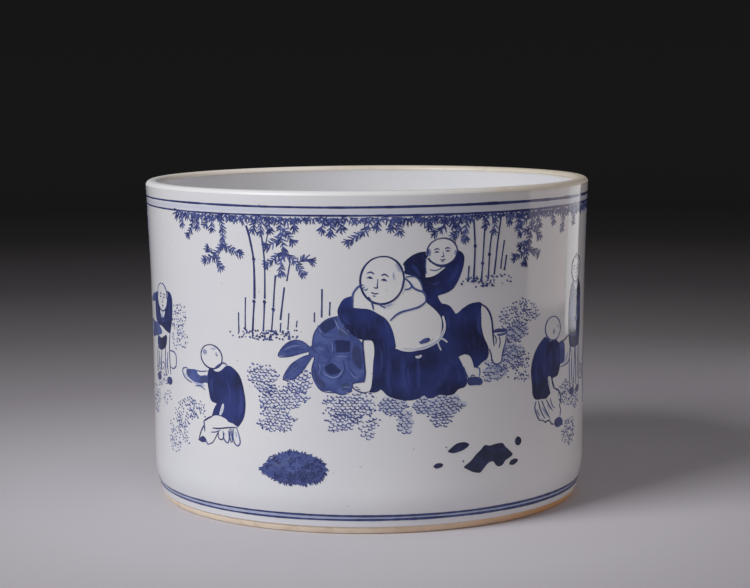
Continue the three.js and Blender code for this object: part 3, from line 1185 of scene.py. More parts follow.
mound("mound")
mound("moundBack", seed=32, about=(-30, 26), at=(168, 24), flip=-1)
mound("moundFar", seed=33, about=(-30, 26), at=(352, 27))
stones("stones")
stones("stonesBack", seed=42, about=(50, 28), at=(222, 27), flip=-1)
stones("stonesFar", seed=43, about=(50, 28), at=(296, 25))
print("ground painted")


def drawn(name, seed=1, fills=(), patches=(), folds=(), washes=(), lines=(), dots=(), heads=(), **place):
    # fills are (tone, layer, outline), and the rest are strokes: (width, shade or layer, points)
    painting = Painting(name, seed=seed, **place)
    for tone, layer, outline in fills:
        painting.fill(outline, tone, layer)
    for shade, soft, outline in patches:
        painting.fill(outline, "patch", 3, soft, shade)
    for width, strength, points in folds:
        painting.stroke(points, [width * k for k in (0.4, 1, 1.1, 1, 0.4)], "fold", 3, strength)
    for width, shade, layer, points in washes:
        painting.stroke(points, [width * k for k in (0.6, 1, 1.1, 1, 0.6)], "wash", layer, shade)
    for width, points in lines:
        painting.stroke(points, [width * k for k in (0.7, 1.1, 1, 1.05, 0.55)], "line", 5)
    for size, long, tilt, centre in dots:
        painting.dot(centre, size, "line", 6, long, tilt)
    for look in heads:
        head(painting, **look)
    painting.finish()


def head(painting, centre, radii, tilt, width, turn=None, tufts=()):
    # a white oval with tufts of hair and an outline, and a face unless it is turned away
    painting.oval(centre, radii, "reserve", 3, tilt)
    for spot, size, shade in tufts:
        turns = [i * pi / 5 for i in range(10)]
        outline = [(spot[0] + size[0] * cos(t), spot[1] + size[1] * sin(t)) for t in turns]
        painting.fill(outline, "wash", 4, min(size) * 0.6, shade)
    painting.ring(centre, radii, width, "line", 5, tilt)
    if turn is not None:
        calmFace(painting, centre, radii, tilt, turn, width)


def calmFace(painting, centre, radii, tilt, turn, width):
    # plain and quiet: eyes half way down, the nose half way on to the chin, and the mouth a third of the
    # way below it
    spin = Matrix.Rotation(radians(tilt), 2)

    def at(x, y):
        spot = spin @ Vector(((x * (1 - abs(turn) * 0.4) + turn) * radii[0], y * radii[1]))
        return (centre[0] + spot.x, centre[1] + spot.y)

    fine = width * 0.72
    for side in (-1, 1):
        painting.stroke([at(side * 0.19, 0.19), at(side * 0.36, 0.26), at(side * 0.56, 0.18)],
                        [fine * 0.8, fine * 1.3, fine * 0.5], "line", 5, 0.6, across=1)
        painting.stroke([at(side * 0.22, -0.01), at(side * 0.36, 0.05), at(side * 0.52, -0.02)],
                        [fine * 0.6, fine * 1.1, fine * 0.5], "line", 5, 0.2, across=1)
        painting.dot(at(side * 0.36, -0.01), fine * 0.45, "line", 6, 1.3)
        cheek = [at(side * 0.50, -0.30), at(side * 0.60, -0.42)]
        painting.stroke(cheek, [fine * 2, fine * 3, fine * 2], "halo", 4)
    painting.stroke([at(0.04, 0.02), at(0.07, -0.26), at(0.10, -0.34), at(-0.02, -0.37), at(-0.08, -0.33)],
                    [fine * 0.5, fine * 0.7, fine, fine, fine * 0.5], "line", 5, 0.6, across=1)
    painting.stroke([at(-0.19, -0.57), at(-0.06, -0.60), at(0, -0.61), at(0.06, -0.60), at(0.19, -0.56)],
                    [fine * 0.5, fine, fine * 0.8, fine, fine * 0.5], "line", 5, 0.3, across=1)
    under = [at(-0.09, -0.71), at(0.09, -0.70)]
    painting.stroke(under, [fine * 0.4, fine * 0.8, fine * 0.4], "leaf", 5, 0.7, across=1)


recliner = {
    "fills": [
        ("robe", 2, [(-5.2, 94.7), (-5.2, 94.7), (-8.5, 93.6), (-10.3, 91), (-11.1, 88.5), (-10.3, 85.5),
            (-8.5, 82.6), (-5.4, 79.5), (-3.1, 78), (-0.9, 77.6), (1.6, 77.4), (2.7, 76.3), (3.1, 72.9),
            (2.6, 68.3), (2.2, 62.5), (1.6, 58.5), (0.6, 57.1), (0.6, 57.1), (2.9, 56.9), (4.6, 57.4),
            (5.2, 58), (6.2, 57.6), (7.9, 55.7), (10.5, 54.5), (14.1, 53.6), (18, 53.5), (20.8, 54.2),
            (22.5, 55.2), (24, 54), (26.5, 54), (28.7, 55.1), (32, 54.6), (35.1, 55.1), (36.8, 56.8),
            (39.9, 57.6), (40.8, 60.1), (39.9, 63.4), (38.5, 66.8), (37, 69.5), (37, 69.5), (39.3, 70.4),
            (41.8, 69.7), (43, 67.6), (43.8, 64.8), (43.8, 64.8), (45.5, 65), (47.1, 66.3), (49.1, 67.4),
            (50, 68), (50.7, 70), (50.3, 72.9), (48.9, 75.5), (47.6, 78.9), (46.9, 83.2), (46.9, 87.5),
            (47.4, 89.8), (47.4, 89.8), (46.3, 90.6), (44, 90.5), (41.7, 90.1), (38.5, 88.4), (36.8, 87),
            (35.7, 86.7), (34.8, 87.9), (33.3, 89.8), (31.3, 90.7), (29.9, 91), (28.7, 92.7),
            (28.1, 94.2), (28.1, 94.2), (23.5, 94), (23.5, 94), (23.5, 91.8), (25, 90.4), (27.6, 88.1),
            (29.6, 85.2), (29.9, 82.1), (29.6, 79.5), (28.2, 77.2), (25, 75.4), (20.5, 74.2),
            (15.5, 73.8), (11.6, 74.4), (11.6, 74.4), (10.6, 79.8), (9.3, 83.2), (7.5, 85.8),
            (4.5, 87.8), (1.4, 89.4), (-2, 89.8), (-4.9, 90.1), (-4.9, 90.1), (-5.3, 92)]),
        ("reserve", 3, [(47.4, 89.6), (49.4, 88), (51.2, 85), (52, 81), (52.4, 78.4), (56, 79),
            (59.4, 78.6), (58.8, 74.6), (57.6, 71), (57, 67), (55.4, 65.5), (53.2, 65.9), (52, 68),
            (50.8, 72), (49, 76), (47.6, 80), (47, 85)]),
        ("leaf", 4, [(41, 60.9), (43.3, 61.2), (46.1, 60.9), (47.8, 59.4), (47, 57.7), (44.5, 57.9),
            (42, 57.9), (40.9, 58.8)]),
    ],
    "folds": [
        (5.4, 0.6, [(13.6, 72), (14.6, 66), (15, 60), (17, 55)]),
        (2.0, 0.55, [(16.4, 68), (16.2, 63), (17.6, 57)]),
        (3.0, 0.35, [(9, 72), (8.6, 66), (8.4, 60), (9.4, 56.4)]),
        (4.6, 0.5, [(35, 69.6), (33, 66.5), (30.6, 62.5), (27, 57)]),
        (1.8, 0.6, [(34, 68), (31.6, 64), (29.4, 60)]),
        (2.4, 0.9, [(46.2, 88.6), (45.9, 84), (46, 80), (47.6, 76)]),
        (2.2, 0.5, [(19.5, 72), (20.5, 66), (20.3, 60), (21.4, 56)]),
        (1.6, 0.5, [(6.6, 86), (8.2, 82.5), (9, 78.5)]),
        (1.5, 0.4, [(-9.4, 88), (-8, 85.2), (-5.4, 83)]),
        (2.2, 0.4, [(33, 88.4), (32.4, 84), (33.2, 80)]),
        (2, 0.35, [(36.5, 58.8), (37.4, 62), (36, 66)]),
        (1.3, 0.5, [(5.2, 76), (6, 70), (5.4, 63)]),
    ],
    "washes": [
        (1.2, 0.85, 4, [(11.4, 74.4), (15.2, 73.2), (19.8, 73.5), (24.4, 74.6), (28.4, 76.7),
            (30.6, 79.8), (31.1, 82.6), (30.3, 86)]),
        (0.7, 0.8, 4, [(29.3, 77.4), (30.9, 76.7), (32.2, 75.6)]),
        (0.6, 0.6, 4, [(28.2, 76.2), (28.7, 74.4), (29.6, 72.6)]),
        (0.9, 0.7, 4, [(19.2, 70.6), (20.4, 70.3), (21.6, 71)]),
        (3.4, 0.35, 4, [(11.5, 107.5), (13.1, 105.3), (13.5, 103.2)]),
        (1.7, 0.15, 4, [(14.2, 101), (14.4, 98.4), (13.4, 95.4)]),
        (1.2, 0.45, 4, [(10.6, 104.2), (10.8, 102), (11, 100.2)]),
        (1.8, 0.5, 3, [(6.2, 91), (8.6, 90.7), (11, 92)]),
    ],
    "lines": [
        (0.75, [(-5.1, 90.2), (-5.2, 93.2), (-5, 95.3), (-3.9, 97.2), (-2.2, 98.7), (-0.8, 98.9)]),
        (0.65, [(0.9, 94.3), (2.2, 92.3), (2.9, 89.2)]),
        (0.45, [(-2.3, 98), (-1.2, 97.6), (-0.5, 98.3)]),
        (0.45, [(-0.9, 97.2), (0.1, 96.9), (0.7, 97.6)]),
        (0.6, [(4.4, 92), (5.8, 90.8), (7.6, 89.9)]),
        (0.75, [(9.3, 84.9), (11.5, 87), (14.1, 88.3), (17.5, 89.1), (20.7, 90), (22.7, 91.3),
            (23.5, 92.3)]),
        (0.8, [(15.2, 101.2), (17, 99.6), (18.2, 97.7), (20.1, 96.5), (22.2, 95.8), (23.3, 94.1),
            (23.4, 92.2)]),
        (0.6, [(16, 100.6), (17.7, 98.3), (16.8, 97.1), (15, 96.9)]),
        (0.55, [(15.4, 101.7), (18.4, 102), (20.4, 100.8), (21.7, 98.5), (22.2, 96.2)]),
        (0.6, [(1.6, 77.6), (-0.6, 77.7), (-1.4, 76.6), (-0.9, 70), (-0.5, 64), (-0.9, 61.4)]),
        (0.5, [(-0.9, 61.2), (-3, 61), (-5.3, 60.6), (-5.5, 59.2), (-4.4, 58.1), (-2.9, 57.3),
            (-0.9, 56.9), (0.6, 57.3)]),
        (0.35, [(-4.6, 59.3), (-3.2, 59)]),
        (0.35, [(-3.8, 58.3), (-2.4, 58.1)]),
        (0.8, [(46.8, 89.7), (49.1, 88.4), (51, 85.8), (52.1, 82.4), (52.5, 78.9), (52.8, 75.5),
            (53.2, 72.6)]),
        (0.6, [(50.9, 71.8), (51.8, 69.4), (52.2, 67.3), (53.2, 65.7), (55.2, 65.3), (56.9, 66.2),
            (57.3, 68.9), (58.2, 72), (59.2, 74.3), (58.9, 76)]),
        (0.5, [(55.7, 76.3), (56.2, 73.9), (55.6, 71.6)]),
        (0.45, [(53.1, 77), (54.2, 75.6), (54, 73.4)]),
        (1.5, [(53.0, 78.4), (55.4, 78.7), (57.8, 78.4), (59.7, 78.6)]),
        (0.9, [(54.6, 77), (56.6, 76.9), (59.2, 77.3), (59.8, 78.2)]),
        (0.5, [(44.6, 64.8), (46, 64.6), (46.5, 63.3), (46.2, 61)]),
        (0.5, [(39.1, 65.6), (40.1, 63.1), (41.2, 61)]),
        (0.4, [(42.2, 61.3), (43.2, 62), (44.2, 61.4)]),
    ],
    "dots": [
        (0.95, 2.3, 18, (23.2, 76.7)),
        (0.5, 1.6, -30, (21.4, 76)),
        (0.45, 1.5, 40, (25.6, 77.3)),
    ],
    "heads": [{
        "centre": (6.3, 100.7),
        "radii": (8.4, 9.3),
        "tilt": -10,
        "turn": -0.24,
        "width": 0.78,
    }],
}
sackBundle = {
    "fills": [
        ("sack", 2, [(-10.6, 86.8), (-12.9, 86.4), (-15.5, 85.1), (-18.1, 82.9), (-19.8, 80.7),
            (-20.9, 78.2), (-21.1, 75.5), (-20.4, 73), (-20.2, 70.5), (-21.3, 67.4), (-21.4, 64.5),
            (-20.6, 61.7), (-19.2, 58.8), (-17.5, 57.5), (-14.9, 57.5), (-12, 56.8), (-9.5, 56.1),
            (-7.5, 57.1), (-5.7, 57.6), (-5.6, 60.6), (-5.6, 60.6), (-3.4, 60.9), (-0.9, 61.2),
            (-0.9, 61.2), (-0.5, 63.1), (-0.9, 67.1), (-1.4, 71.7), (-1.5, 76.2), (-1.5, 76.2),
            (-3, 78.2), (-5.3, 80), (-7.8, 82.6), (-10.2, 85.7)]),
        ("sack", 2, [(-21.3, 73.6), (-25, 76.4), (-29, 76.7), (-33, 74.3), (-35.3, 70.7), (-35.3, 70.7),
            (-32, 70.7), (-28, 71.4), (-23.5, 72.7)]),
        ("sack", 2, [(-21.4, 71.6), (-25, 70.4), (-29, 67.9), (-31.6, 65), (-33.2, 61.4), (-33.2, 61.4),
            (-29, 62.2), (-25.7, 65), (-23, 68.4)]),
        ("sack", 2, [(-22.6, 74.2), (-20.6, 75.4), (-19.6, 73), (-20.2, 70.6), (-22.4, 71)]),
    ],
    "patches": [
        (0.0, 0.5, [(-12.4, 77.3), (-9, 77.6), (-6, 77), (-6.1, 74.8), (-6.3, 72.9), (-9, 72.6),
            (-11.9, 72.8), (-11.8, 75)]),
        (0.05, 0.5, [(-17.2, 83.9), (-14.8, 85.4), (-11.2, 86), (-11.8, 82.6), (-14, 81.2),
            (-16.2, 79.9), (-17.9, 82)]),
        (0.0, 0.4, [(-16.6, 66.7), (-13.4, 68.6), (-10.9, 66.6), (-9.9, 65.2), (-12.3, 64), (-14.7, 64.2)]),
        (0.12, 0.4, [(-5, 75), (-2.2, 74.4), (-1.8, 70), (-2, 66), (-4.3, 67.6), (-5.6, 70.8)]),
        (0.15, 0.6, [(-20.4, 66.5), (-18.6, 63), (-15.8, 60.4), (-16.5, 58.6), (-19, 59.6), (-20.6, 62.6)]),
        (0.2, 0.4, [(-10, 60.3), (-7, 61), (-6.6, 58.6), (-9.4, 57.6)]),
        (0.25, 0.5, [(-11, 82.5), (-8.2, 82), (-6, 79.6), (-7.6, 78.4), (-10.6, 79.4)]),
    ],
    "lines": [
        (0.45, [(-21.3, 73.8), (-25, 76.6), (-29, 76.9), (-33, 74.5), (-35.4, 70.6), (-31.5, 70.5),
            (-27, 71.6), (-22.8, 72.8)]),
        (0.45, [(-21.6, 71.8), (-25.2, 70.5), (-29.2, 68), (-31.8, 65), (-33.4, 61.3), (-29, 62),
            (-25.4, 65), (-22.8, 68.6), (-21, 71)]),
        (0.35, [(-20.4, 73), (-18.6, 71.6), (-19.2, 67.6), (-18.2, 65.6)]),
        (0.4, [(-10.8, 86.8), (-15.7, 85.2), (-19.9, 80.8), (-21.2, 75.6), (-20.6, 73)]),
        (0.4, [(-20.3, 70.6), (-21.5, 66), (-20.8, 61.8), (-17.7, 57.6), (-12, 56.8), (-9.5, 56),
            (-5.6, 57.6)]),
        (0.35, [(-18.6, 80.6), (-16, 78.6), (-13.2, 78.8)]),
        (0.35, [(-7, 71.6), (-6.8, 67.2), (-4.2, 63.4)]),
        (0.35, [(-15.8, 75.8), (-14.2, 71), (-14.9, 68.6)]),
        (0.35, [(-9, 69.6), (-8.6, 66), (-10.6, 62.4)]),
        (0.3, [(-32, 72.6), (-28, 73.6), (-24, 73.6)]),
        (0.3, [(-31.6, 63.6), (-28, 66.6), (-24.4, 69)]),
    ],
    "lights": [
        (0.9, [(-17.9, 66.6), (-16.3, 64.2), (-13.5, 62.8), (-11, 63.3), (-9.4, 65.4), (-8.4, 67.8)]),
        (0.7, [(-19, 83), (-17.8, 80.8), (-18.3, 78.6)]),
        (0.8, [(-12.4, 86), (-11.3, 83.6), (-10.4, 81)]),
        (0.6, [(-14, 77.4), (-13.1, 75), (-13.5, 72.4)]),
        (0.5, [(-12.6, 71), (-9, 71.2), (-6.6, 70.6)]),
        (0.8, [(-9.6, 58.8), (-7.6, 59.2), (-5.8, 58.6)]),
        (0.6, [(-6.4, 65.6), (-5.2, 63.4), (-2.6, 62)]),
        (0.9, [(-33.6, 72.4), (-29.6, 74.6), (-25, 75)]),
        (0.9, [(-32, 62.8), (-29, 65.6), (-25, 68.6)]),
        (0.6, [(-20.6, 73.6), (-18.2, 74.4), (-16, 73)]),
        (0.5, [(-19.6, 69.4), (-18.2, 67), (-18.6, 63.4)]),
        (0.5, [(-10.8, 83), (-9, 81.2), (-6.6, 79.2)]),
    ],
}


def sack(name, seed, fills, patches, lights, lines):
    painting = Painting(name, seed=seed)
    for tone, layer, outline in fills:
        painting.fill(outline, tone, layer)
    for shade, soft, outline in patches:
        painting.fill(outline, "patch", 3, soft, shade)
    for width, points in lights:
        shade = painting.random.uniform(0.6, 1)
        painting.stroke(points, [width * k for k in (0.5, 1, 1, 0.6)], "patch", 4, shade)
    for width, points in lines:
        painting.stroke(points, [width * k for k in (0.7, 1.1, 1, 1.05, 0.55)], "line", 5, 0.5)
    painting.finish()


climber = {
    "fills": [
        ("robe", 2, [(14.4, 106.8), (17, 109.4), (19.8, 110.9), (23.3, 111.4), (26, 110.5), (30, 109),
            (33.6, 109.4), (36.2, 111.4), (38.2, 110.5), (39.3, 108.8), (39.1, 105.9), (38.2, 102.8),
            (36.7, 99.4), (34.5, 96.3), (31.7, 94.9), (28.5, 94.1), (28, 93.6), (23.6, 93.5),
            (22.3, 96.5), (21.8, 98.5), (20.6, 100.9), (18.5, 102.1), (16.3, 102.6), (14.6, 103.6)]),
        ("reserve", 3, [(23.3, 109), (23.3, 105), (23.3, 101.4), (23.3, 101.4), (25.4, 101.5),
            (27.9, 102.5), (31.3, 104.9), (31.3, 104.9), (28, 105.4), (24.8, 107.4)]),
    ],
    "folds": [
        (2.2, 0.5, [(17.5, 107), (19.5, 104.5), (21.6, 101)]),
        (2.6, 0.4, [(36.6, 107), (35.6, 102.6), (32, 98.6)]),
        (1.5, 0.4, [(24.4, 99.6), (27, 98.6), (30, 99.8)]),
    ],
    "lines": [
        (0.5, [(23.4, 109), (23.2, 105.5), (23.6, 102.6)]),
        (0.4, [(24.8, 104.4), (27.6, 103.9), (31, 105.6)]),
    ],
    "heads": [{
        "centre": (30, 111.1),
        "radii": (6.2, 5.3),
        "tilt": 3,
        "turn": 0.0,
        "width": 0.62,
        "tufts": [
            ((24.6, 110.9), (1.2, 1.9), 0.1),
            ((35.4, 110.6), (0.7, 1.2), 0.5),
        ],
    }],
    "dots": [
        (0.55, 1.5, 80, (24.1, 111)),
        (0.4, 1.4, 90, (24.3, 109.3)),
    ],
}
croucher = {
    "fills": [
        ("robe", 2, [(-69.5, 63), (-67.5, 62.9), (-66.6, 62.3), (-64.3, 62.2), (-62, 63.5),
            (-60.1, 64.9), (-58, 65), (-55.7, 63.9), (-53.3, 61.6), (-52, 58.7), (-51.2, 55.4),
            (-50.7, 52.2), (-50.7, 49.1), (-51.4, 45.2), (-53, 42.5), (-54.7, 40.7), (-54.7, 40.7),
            (-57.2, 42), (-59.5, 42.4), (-60.6, 43.4), (-62.2, 43.9), (-64.5, 44.4), (-66.6, 44.3),
            (-68.8, 43.6), (-68.8, 43.6), (-67.6, 46.6), (-65.8, 49.2), (-65.8, 49.2), (-68.2, 49.6),
            (-69.5, 50.8), (-70.3, 54.1), (-70.9, 57), (-70.9, 59.8), (-70.3, 61.9)]),
        ("sack", 2, [(-84.6, 61.2), (-81, 61.5), (-78, 61.6), (-77, 60.1), (-75, 59.5), (-70.8, 60),
            (-70.6, 57), (-72.4, 57), (-74.3, 56.3), (-75.8, 56.4), (-78.9, 56.5), (-82.4, 57.3),
            (-84.7, 58.7), (-85.1, 60)]),
        ("line", 4, [(-77.3, 33.5), (-74.9, 34.9), (-73.4, 34.7), (-72.1, 33.2), (-74.5, 32.4),
            (-77, 32.8)]),
    ],
    "patches": [
        (0.25, 0.5, [(-84.8, 60.8), (-82, 61.3), (-82.6, 58.2), (-84.6, 59)]),
        (0.2, 0.5, [(-75.4, 59), (-71.4, 59.4), (-71.2, 57.4), (-74.6, 56.8)]),
    ],
    "folds": [
        (3.2, 0.75, [(-53.4, 59), (-52.6, 53), (-53.2, 47.5), (-55, 43.4)]),
        (2, 0.4, [(-60.5, 61), (-58.5, 55), (-58.6, 48)]),
        (1.8, 0.45, [(-68, 60.4), (-68.4, 56), (-67.4, 52)]),
        (2, 0.5, [(-62.6, 51.4), (-61.6, 48), (-61.8, 45.2)]),
    ],
    "washes": [
        (1.3, 0.9, 4, [(-62.1, 49.4), (-62.9, 46.8), (-64, 44.8)]),
        (3, 0.75, 1, [(-82, 57.4), (-76, 55.8), (-71.4, 55.4)]),
        (1.6, 0.85, 1, [(-86.6, 59.8), (-85.8, 58.6), (-83.6, 57.2)]),
        (1.4, 0.7, 1, [(-62, 38.6), (-61.4, 36)]),
        (1.6, 0.6, 1, [(-58.6, 39.4), (-58.4, 36.2)]),
        (1.6, 0.9, 1, [(-55.8, 39.4), (-55.4, 36)]),
    ],
    "lines": [
        (0.6, [(-66.7, 63.2), (-64.4, 64.7), (-61.4, 66), (-59.6, 65.2)]),
        (0.45, [(-78, 61.3), (-74.5, 61.3), (-70.6, 61.9)]),
        (0.5, [(-84.3, 61.6), (-87, 61.4), (-88, 60), (-87, 58.1), (-84.5, 56.8), (-80.8, 56)]),
        (0.4, [(-78.7, 54.9), (-75.5, 55.3), (-72.3, 54)]),
        (0.65, [(-68.6, 43.7), (-71.2, 42.6), (-73.7, 41.2)]),
        (0.6, [(-73.7, 41.2), (-73.4, 39.4), (-73.2, 37)]),
        (0.55, [(-73.7, 39.4), (-75.3, 37.2), (-76.9, 34)]),
        (0.5, [(-72.8, 33.6), (-71.6, 32.1), (-70.6, 32.2)]),
        (0.35, [(-70.8, 32.2), (-68.5, 33.1), (-66.7, 35.4), (-65.4, 37.4)]),
        (0.5, [(-68.4, 39), (-65, 39.2), (-61, 39.9), (-57, 40.5), (-55, 40.4)]),
        (0.4, [(-69.4, 37.2), (-66.6, 37.6), (-64, 38.6)]),
        (0.45, [(-65, 37.9), (-65.2, 35.6), (-64, 34.9), (-62.6, 35.2), (-62, 37.6)]),
        (0.5, [(-62.5, 38.4), (-62.1, 35.4), (-60.6, 34), (-59.5, 34.4), (-59.2, 36.6), (-59.6, 39)]),
        (0.5, [(-58.6, 39.9), (-58.9, 36.4), (-58, 34.2)]),
        (0.5, [(-57, 39.9), (-57.2, 36.2), (-56.1, 33.8), (-54.8, 33.3), (-53.6, 34.6), (-54.1, 37.5),
            (-55.2, 40.3)]),
        (0.4, [(-57.8, 39.8), (-57.8, 37), (-57.5, 34.4)]),
    ],
    "heads": [{
        "centre": (-68.3, 67.9),
        "radii": (6.2, 4.8),
        "tilt": -4,
        "width": 0.6,
        "tufts": [
            ((-72.1, 69.5), (1.7, 1.5), 0.2),
            ((-65.4, 69.3), (0.9, 0.9), 0.5),
            ((-67, 71.2), (1.6, 0.6), 0.9),
        ],
    }],
    "dots": [
        (0.3, 1.2, 0, (-64.9, 68.6)),
        (0.22, 1.3, 0, (-65.6, 69.4)),
    ],
}
bender = {
    "fills": [
        ("robe", 2, [(82.6, 73.4), (80.5, 72.3), (77.5, 70), (75, 66.5), (73.6, 62.5), (73.4, 59),
            (74, 54.5), (74.4, 51), (75.8, 48.8), (78.3, 48.3), (80.5, 48.3), (83.5, 48), (86.8, 49.8),
            (86.8, 49.8), (85.6, 53), (84.8, 56.6), (87, 56.4), (88, 53.4), (89.6, 51.3), (90.2, 51.6),
            (88.4, 55.6), (91, 56), (93, 56.7), (94.5, 59.5), (94.9, 61), (94.6, 65), (94.4, 69.2),
            (92.5, 70.3), (91, 71.5), (87.5, 71), (84.5, 71.8)]),
        ("sack", 2, [(94.2, 61), (98.5, 61.2), (99.4, 63.6), (99.3, 66), (98.5, 69.3), (94, 69.4),
            (94.4, 65)]),
        ("line", 4, [(90.2, 38), (94, 39), (97, 37.4), (97, 35.6), (93.5, 34.8), (90.6, 35.6)]),
    ],
    "folds": [
        (2.4, 0.5, [(88, 69.4), (86.6, 64), (87.6, 59)]),
        (2.6, 0.35, [(77.4, 66), (76.6, 59), (78, 52)]),
        (2.2, 0.45, [(83, 70.6), (81.8, 63), (82, 55)]),
        (2, 0.7, [(92.4, 68.8), (92, 64), (92.4, 59.4)]),
    ],
    "washes": [
        (1.2, 0.9, 3, [(85.7, 57), (85.9, 53.6), (87.1, 50.6)]),
        (2.4, 0.45, 1, [(80, 45.6), (83, 42.6), (86.4, 39.6)]),
        (2, 0.6, 1, [(84.4, 46), (87, 42.8)]),
        (3, 0.75, 1, [(97, 60.6), (101.4, 62.6), (103, 66)]),
        (2.4, 0.5, 4, [(88.4, 75.2), (89.6, 74.4)]),
    ],
    "lines": [
        (0.55, [(82.9, 73.2), (85.2, 71.8), (88.6, 71.6)]),
        (0.6, [(94.2, 69.8), (98.6, 70.2), (103, 71.6), (105.4, 70)]),
        (0.5, [(105.2, 70.4), (105.6, 66), (103.4, 61), (99.4, 59.8), (95, 59.6)]),
        (0.65, [(89.3, 51.6), (92, 50.6), (94.6, 49), (95.6, 46.2), (94.4, 43.6)]),
        (0.6, [(95.6, 41.9), (94.8, 39.2)]),
        (0.55, [(94.4, 43.6), (95.5, 41.6)]),
        (0.6, [(76.6, 47.8), (75.8, 45.4), (77, 42.3), (79, 39.8), (81.2, 39.5)]),
        (0.55, [(81.2, 39.5), (83, 38.4), (85.8, 38.9), (87.6, 37), (90.2, 36.6)]),
        (0.5, [(78.2, 47.8), (79.6, 43.8), (82.6, 40)]),
        (0.5, [(80.4, 47.6), (83, 43.6), (86.4, 39.4)]),
        (0.45, [(83.6, 47.6), (85.6, 45.2), (88.4, 42.4)]),
        (0.4, [(86.6, 47.6), (88.2, 44.6), (90.2, 43.2)]),
        (0.4, [(77, 44.4), (79, 41.4)]),
    ],
    "heads": [{
        "centre": (88.6, 76.2),
        "radii": (6, 4.9),
        "tilt": -12,
        "width": 0.6,
        "tufts": [
            ((89.2, 74.8), (1.2, 1.5), 0.3),
            ((92.4, 76.6), (0.9, 0.9), 0.6),
        ],
    }],
    "dots": [
        (0.3, 1.4, 30, (94.4, 76)),
        (0.25, 1.2, 0, (92.6, 76.4)),
    ],
}
stroller = {
    "fills": [
        ("robe", 2, [(-101.3, 91.3), (-97.2, 91), (-95.4, 88.2), (-95.7, 82.9), (-96.9, 78.2),
            (-98.6, 74), (-98.6, 74), (-103, 74.6), (-108, 76), (-113.4, 76.4), (-117.6, 78),
            (-118.4, 82), (-118, 86), (-116, 89.4), (-112.6, 89.6), (-110.4, 86), (-109.6, 80.6),
            (-105.6, 80), (-103, 84), (-102.4, 89)]),
        ("robe", 2, [(-103, 73), (-102.5, 71), (-104, 68), (-109, 66), (-114, 65.9), (-116.4, 68),
            (-115, 71.4), (-109.6, 71)]),
        ("sack", 2, [(-114, 76.8), (-119.6, 76.6), (-126, 76.8), (-126.8, 73), (-126, 69.6),
            (-120, 70.6), (-114, 71.6), (-108.4, 73.4)]),
        ("sack", 2, [(-117, 89.2), (-121, 88.4), (-126, 86.4), (-127, 84.8), (-122, 85), (-117.4, 86)]),
        ("line", 4, [(-117, 55.2), (-113, 56.2), (-111.4, 54.4), (-113, 52.8), (-117.2, 53)]),
        ("line", 4, [(-103, 55), (-99.4, 56), (-97.6, 54.4), (-99.4, 52.6), (-103, 53)]),
    ],
    "folds": [
        (2, 0.6, [(-99, 89), (-98.2, 84), (-99.6, 78)]),
        (2, 0.4, [(-114.6, 87), (-113.8, 82), (-114.6, 78)]),
    ],
    "washes": [
        (2.6, 0.85, 1, [(-107.4, 83), (-106.6, 79)]),
        (3, 0.8, 1, [(-104, 64), (-102.6, 58)]),
        (2.6, 0.85, 1, [(-112.4, 63.6), (-113.4, 58)]),
    ],
    "lines": [
        (0.5, [(-98.8, 74), (-99.8, 69), (-99.8, 63), (-99.2, 57)]),
        (0.5, [(-104.4, 67.6), (-105, 62), (-104.2, 56)]),
        (0.5, [(-99.8, 66.8), (-96.4, 67), (-93.6, 65.8), (-93.6, 61.4), (-96.6, 59.8), (-99.6, 60.4)]),
        (0.5, [(-109.6, 65.8), (-110.6, 61), (-111.4, 56.4)]),
        (0.5, [(-116, 66.4), (-117, 61), (-116.8, 55.8)]),
        (0.45, [(-101.8, 66), (-102.4, 61), (-101.8, 57)]),
        (0.45, [(-113, 65), (-113.8, 60), (-113.6, 56.8)]),
        (0.5, [(-109.4, 81), (-106.8, 78), (-104.4, 79.8)]),
        (0.5, [(-126.4, 77), (-129.6, 76.2), (-130, 72), (-126.6, 69.6)]),
    ],
    "heads": [{
        "centre": (-106.6, 88.4),
        "radii": (6.3, 5.8),
        "tilt": 0,
        "turn": 0.1,
        "width": 0.6,
        "tufts": [
            ((-112.2, 89.6), (1, 1.6), 0.3),
            ((-100.9, 89.4), (1, 1.6), 0.3),
        ],
    }],
    "dots": [
        (0.4, 1.4, 0, (-106.6, 94.4)),
    ],
}
